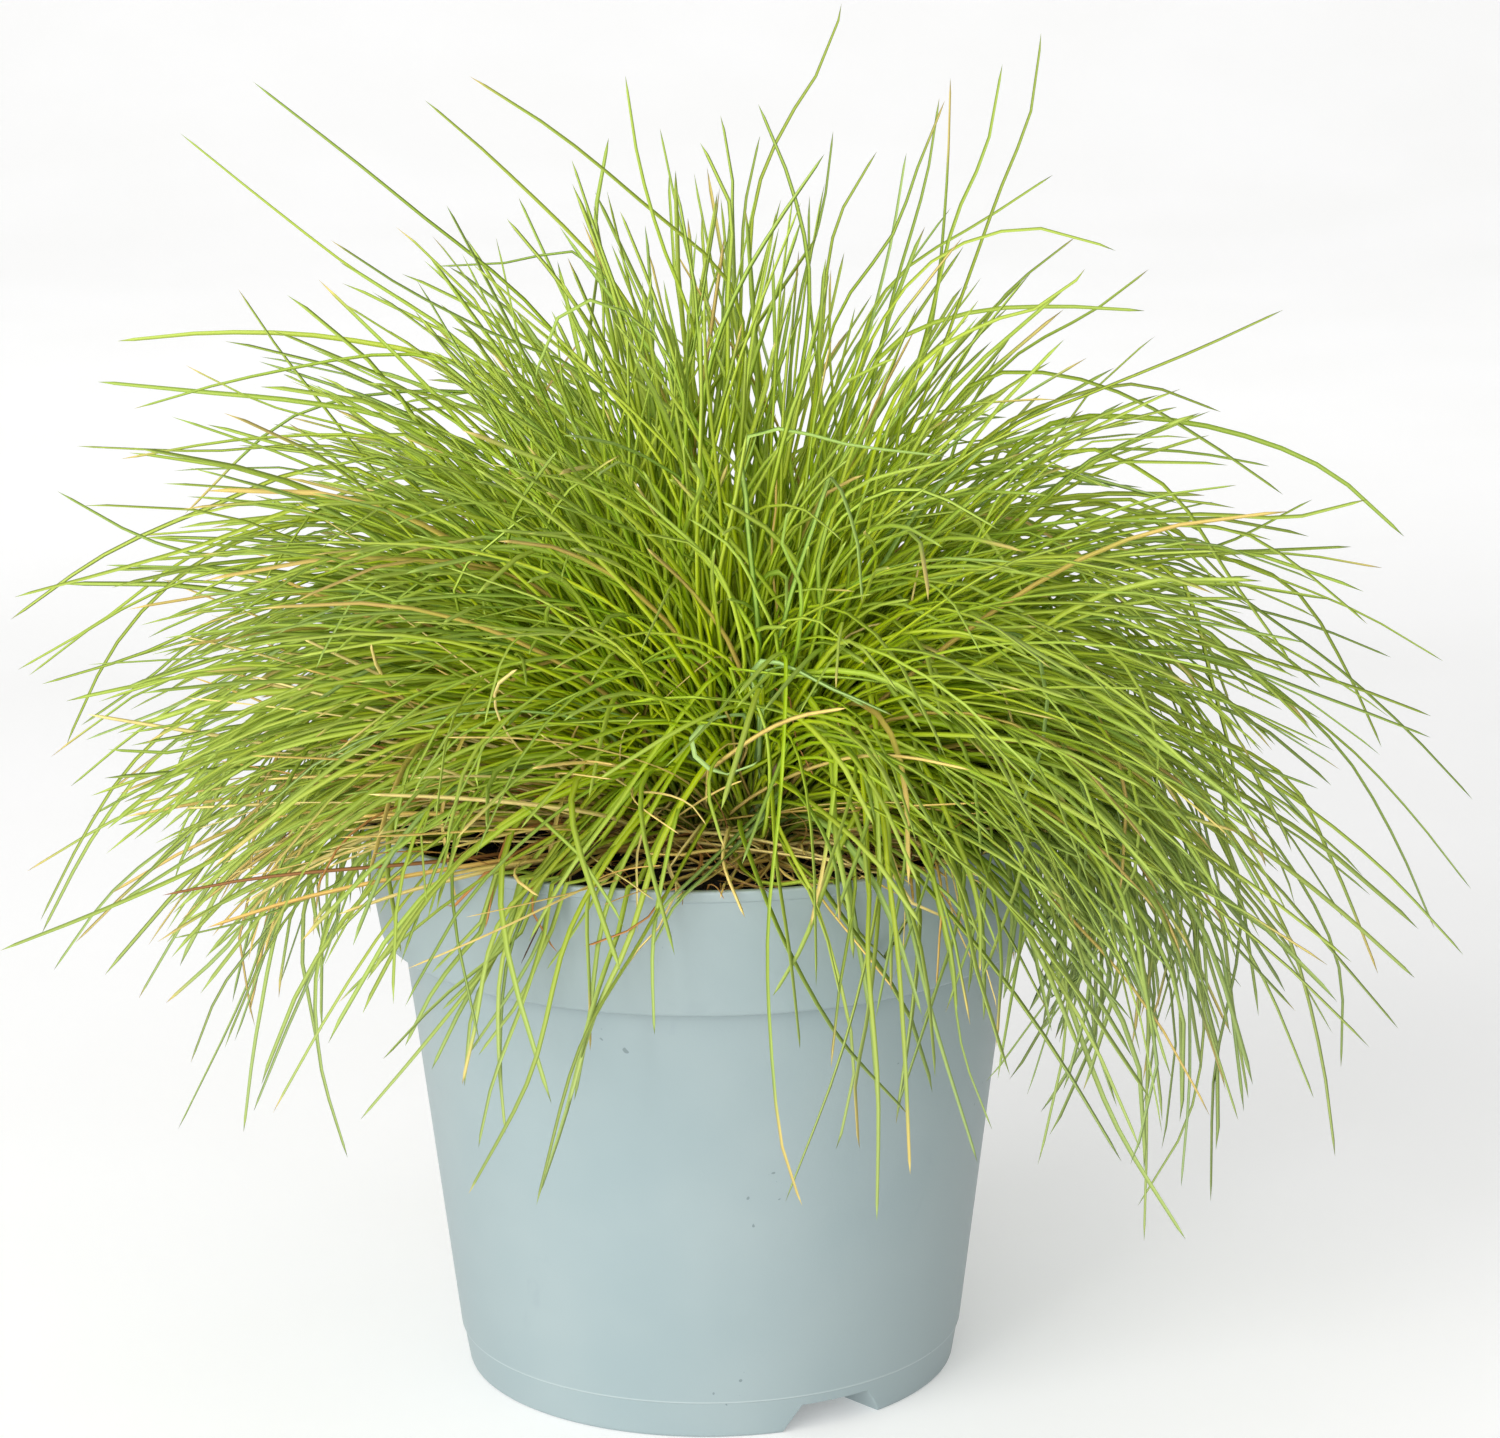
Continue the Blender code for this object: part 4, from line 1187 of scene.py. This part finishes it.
rng = np.random.default_rng(31)
drawn = [stray_places(*leaf) for leaf in STRAY_LEAVES]
drawn += [[seen_at(*point) for point in leaf] for leaf in HANGING_LEAVES]
drawn += [[seen_at(*point) for point in leaf] for hue, *leaf in HEART_LEAVES]
lines = np.array([out_of_crown(leaf, LONG_STEPS, rng) for leaf in drawn])
count = len(lines)
widest = LEAF_WIDTH * rng.uniform(0.8, 1.1, count)
widest[-len(HEART_LEAVES):] *= HEART_LEAF_WIDER
tones = leaf_tones(rng, count)
tones[-len(HEART_LEAVES):, 0] = [hue for hue, *leaf in HEART_LEAVES]
long_leaves = sweep(
    "long_leaves",
    lines,
    level_across(lines),
    leaf_widths(LONG_STEPS, widest),
    LEAF_SECTION,
    leaf_rolls(rng, count, LONG_STEPS, 0.4, 0.6),
    tones,
    LONG_ATLAS_COLUMNS,
)
long_leaves.data.materials.append(leaf_skin)
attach(long_leaves, "root")
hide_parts(*sorted(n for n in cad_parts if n.startswith("long_blade")))

# -----------------------------------------------------------------------------
# Dead straw: old leaves, tan to red-brown and thinner than the live ones, that lie where they fell
# beside the crown. They curl over the peat, most of them on the left, and hang over the lip.
THATCH = 520
CURLS = 150
STRAW_STEPS = 16
STRAW_SECTION = [(-0.5, 0.1), (0.0, -0.3), (0.5, 0.1)]
STRAW_FOOT = PEAT_LEVEL + 1 * MM
# The straws that catch the eye, as above: hue from pale tan, 0, to black-brown, 1, then the points.
SINGLE_STRAWS = [
    (0.25, (735, 690, -36), (728, 652, -40), (713, 658, -42), (688, 678, -45), (662, 699, -47)),
    (0.4, (825, 720, -40), (838, 700, -43), (836, 724, -45), (846, 747, -48), (861, 765, -52),
     (874, 783, -55)),
    (0.8, (780, 690, -40), (787, 699, -42), (795, 737, -46), (805, 762, -49), (815, 783, -52)),
    (0.35, (735, 745, -42), (723, 745, -44), (711, 757, -46), (705, 783, -50), (704, 806, -53)),
    (0.4, (760, 850, -50), (739, 852, -54), (708, 849, -57), (682, 854, -60), (644, 852, -62)),
    (0.5, (780, 640, -28), (775, 607, -30), (771, 549, -31), (775, 503, -32), (779, 457, -32)),
    (0.2, (840, 640, -30), (874, 626, -34), (904, 618, -36), (915, 597, -37), (917, 556, -37)),
    (0.15, (690, 840, -56), (671, 873, -64), (680, 896, -71), (660, 925, -74), (623, 966, -77),
     (603, 996, -79)),
    (0.1, (650, 820, -55), (638, 853, -62), (639, 883, -70), (637, 933, -74)),
    (1.0, (600, 840, -56), (560, 892, -66), (538, 929, -69), (521, 966, -71)),
    (0.45, (770, 850, -46), (779, 872, -58), (818, 900, -70), (859, 944, -73), (893, 991, -74)),
    (0.15, (850, 860, -52), (889, 887, -62), (920, 905, -66), (954, 922, -64)),
    (0.3, (900, 830, -45), (945, 874, -56), (950, 911, -62), (961, 941, -63), (978, 967, -63)),
    (0.2, (930, 860, -50), (971, 935, -58), (991, 980, -58), (999, 1013, -58)),
    (0.25, (870, 820, -50), (893, 857, -62), (904, 907, -70), (904, 941, -72), (902, 959, -72)),
    (0.3, (730, 835, -52), (725, 859, -62), (733, 892, -72), (743, 919, -75)),
    (0.6, (925, 850, -50), (941, 890, -64), (941, 918, -68), (937, 954, -69), (937, 993, -69)),
    (0.85, (500, 850, -50), (493, 892, -58), (467, 907, -57), (445, 903, -54)),
    (0.85, (545, 870, -58), (532, 905, -65), (538, 925, -67), (558, 951, -70)),
    (0.8, (515, 850, -50), (501, 868, -56), (488, 909, -60), (486, 931, -61)),
    (0.85, (690, 880, -66), (649, 916, -74), (612, 942, -75), (584, 946, -72)),
]

straw_skin, shader, place = new_material("dead_straw", paint(190, 146, 92))
hue, light, *_ = strand_values(place)
tan = hue.node(
    "ValToRGB",
    {
        "stops": [
            (0.0, paint(244, 226, 148)),
            (0.5, paint(230, 196, 104)),
            (0.85, paint(186, 126, 66)),
            (1.0, paint(70, 44, 30)),
        ]
    },
    {0: hue},
)
streak = place.noise(240, 3, 0.6)
colour = (streak.between(0.45, 0.75) * 0.3).mixed(tan, paint(160, 118, 56))
plug(colour, shader, "Base Color")
plug(light * 0.15 + 0.6, shader, "Roughness")


def foot_at(far, way):
    """Feet of straws on the peat, this far from a middle and in this direction from it."""
    return np.stack([far * np.cos(way), far * np.sin(way), np.full(len(far), STRAW_FOOT)], 1)


# The thatch: over half of it lies to the left, a sixth to the front right and the rest all round.
# On the right it is short and lies low.
rng = np.random.default_rng(47)
lot = rng.random(THATCH)
way = rng.uniform(0, 2 * np.pi, THATCH)
way = np.where(lot < 0.56, FRONT - math.radians(64) + rng.normal(0, 0.36, THATCH), way)
way = np.where(lot > 0.84, FRONT + math.radians(54) + rng.normal(0, 0.34, THATCH), way)
on_right = np.cos(way) > 0
foot = foot_at(CROWN_RADIUS * rng.uniform(0.4, 1.25, THATCH), way)
foot[:, :2] += CROWN_PLACE
thatch_lines, thatch_across = grow(
    foot,
    way + rng.normal(0, 0.6, THATCH),
    np.radians(np.where(on_right, rng.uniform(60, 88, THATCH), rng.uniform(44, 76, THATCH))),
    np.radians(rng.uniform(6, 45, THATCH)),
    (24 + np.where(on_right, 38, 92) * rng.random(THATCH) ** 1.3) * MM,
    rng.normal(0, 0.7, THATCH),
    STRAW_STEPS,
    1.0,
    np.stack([
        rng.uniform(0.3, 0.8, THATCH),
        np.where(rng.random(THATCH) < 0.1, rng.normal(0.3, 0.3, THATCH), 0),
        np.where(rng.random(THATCH) < 0.25, rng.normal(0, 0.7, THATCH), 0),
    ], 1),
    np.concatenate([rng.normal(0, 0.2, (THATCH, 2)), rng.normal(0, 0.15, (THATCH, 2))], 1),
)

# The curls: short thin bits, scattered over the front and sides of the peat.
way = FRONT + rng.uniform(-1.9, 1.9, CURLS)
curl_lines, curl_across = grow(
    foot_at(rng.uniform(24, 64, CURLS) * MM, way),
    way + rng.normal(0, 1.0, CURLS),
    np.radians(rng.uniform(30, 88, CURLS)),
    np.radians(rng.uniform(0, 90, CURLS)),
    rng.uniform(12, 38, CURLS) * MM,
    rng.normal(0, 2.0, CURLS),
    STRAW_STEPS,
)

single = [[seen_at(*point) for point in points] for hue, *points in SINGLE_STRAWS]
single_lines = np.array([out_of_crown(places, STRAW_STEPS, rng) for places in single])
lines = np.concatenate([thatch_lines, curl_lines, single_lines])
count = len(lines)
widest = [
    rng.uniform(0.55, 1.05, THATCH),
    rng.uniform(0.25, 0.42, CURLS),
    rng.uniform(0.6, 0.9, len(SINGLE_STRAWS)),
]
straw_hue = [
    rng.beta(1.1, 2.4, THATCH),
    rng.uniform(0.6, 1.0, CURLS),
    [hue for hue, *straw in SINGLE_STRAWS],
]
straw = sweep(
    "dead_straw",
    lines,
    np.concatenate([thatch_across, curl_across, level_across(single_lines)]),
    leaf_widths(STRAW_STEPS, np.concatenate(widest) * MM),
    STRAW_SECTION,
    leaf_rolls(rng, count, STRAW_STEPS, 0.8, 1.0),
    toned(np.concatenate(straw_hue), rng.random(count), rng.random(count)),
    ATLAS_COLUMNS,
)
straw.data.materials.append(straw_skin)
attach(straw, "root")
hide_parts(*sorted(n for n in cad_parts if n.startswith("dead_straw")))

# -----------------------------------------------------------------------------
# Studio: a pale floor that curves up into a backdrop, soft light from the left and the front, and
# the camera 0.91 m in front of the pot, a little above the clump and looking down on it.
FLOOR_SIZE = 6
FLOOR_BACK = 2.9
BACKDROP_HEIGHT = 4
BACKDROP_CURVE = 1.5

deselect()
bpy.ops.mesh.primitive_plane_add(size=FLOOR_SIZE)
floor = bpy.context.object
floor.name = "studio_floor"


def select_back_edge():
    """Selects the floor's back edge and nothing else, ready for the next operator."""
    bpy.ops.object.mode_set(mode="EDIT")
    bpy.ops.mesh.select_mode(type="EDGE")
    bpy.ops.mesh.select_all(action="DESELECT")
    bpy.ops.object.mode_set(mode="OBJECT")
    for edge in floor.data.edges:
        ends = [floor.data.vertices[v].co for v in edge.vertices]
        edge.select = all(end.y > FLOOR_BACK and end.z < NEAR for end in ends)
    bpy.ops.object.mode_set(mode="EDIT")


select_back_edge()
bpy.ops.mesh.extrude_region_move(TRANSFORM_OT_translate={"value": (0, 0, BACKDROP_HEIGHT)})
select_back_edge()
bpy.ops.mesh.bevel(offset=BACKDROP_CURVE, segments=24, affect="EDGES")
bpy.ops.object.mode_set(mode="OBJECT")
smooth(floor, degrees=60)
paper, shader, place = new_material("white_paper", (0.8, 0.8, 0.8, 1))
grain = place.noise(8, 2).between(0.3, 0.7).mixed((0.79, 0.79, 0.785, 1), (0.81, 0.81, 0.81, 1))
plug(grain, shader, "Base Color")
shader.inputs["Roughness"].default_value = 0.9
shader.inputs["Emission Color"].default_value = (1, 1, 1, 1)
shader.inputs["Emission Strength"].default_value = 0.22
floor.data.materials.append(paper)
floor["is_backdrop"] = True


def softbox(name, place, aim, size, power, colour):
    """A square area light at this place that faces its aim."""
    lamp = bpy.data.lights.new(name, "AREA")
    lamp.size = size
    lamp.energy = power
    lamp.color = colour
    body = bpy.data.objects.new(name, lamp)
    body.location = place
    body.rotation_euler = (Vector(aim) - Vector(place)).to_track_quat("-Z", "Y").to_euler()
    scene.collection.objects.link(body)


plant_middle = (0, 0, 0.12)
softbox("key_light", (-1.5, -1.5, 0.95), plant_middle, 1.6, 34, (1.0, 0.99, 0.97))
softbox("front_light", (-0.5, -2.0, 0.45), plant_middle, 1.4, 31, (1.0, 1.0, 1.0))
softbox("backdrop_light", (0, 0.7, 1.0), (0, 2.6, 0.8), 1.0, 4, (1.0, 1.0, 1.0))
world = bpy.data.worlds.new("studio_air")
world.use_nodes = True
world.node_tree.nodes["Background"].inputs["Color"].default_value = (1, 1, 1, 1)
world.node_tree.nodes["Background"].inputs["Strength"].default_value = 0.6
scene.world = world
scene.view_settings.view_transform = "Standard"

camera_lens = bpy.data.cameras.new("camera")
camera_lens.lens = LENS
camera_lens.sensor_width = SENSOR_WIDTH
camera_lens.clip_end = 30
camera = bpy.data.objects.new("camera", camera_lens)
camera.location = CAMERA_PLACE
camera.rotation_euler = camera_turned
scene.collection.objects.link(camera)
scene.camera = camera

low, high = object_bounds()
sizes = {"cad": [list(cad_low), list(cad_high)], "visual": [list(low), list(high)]}
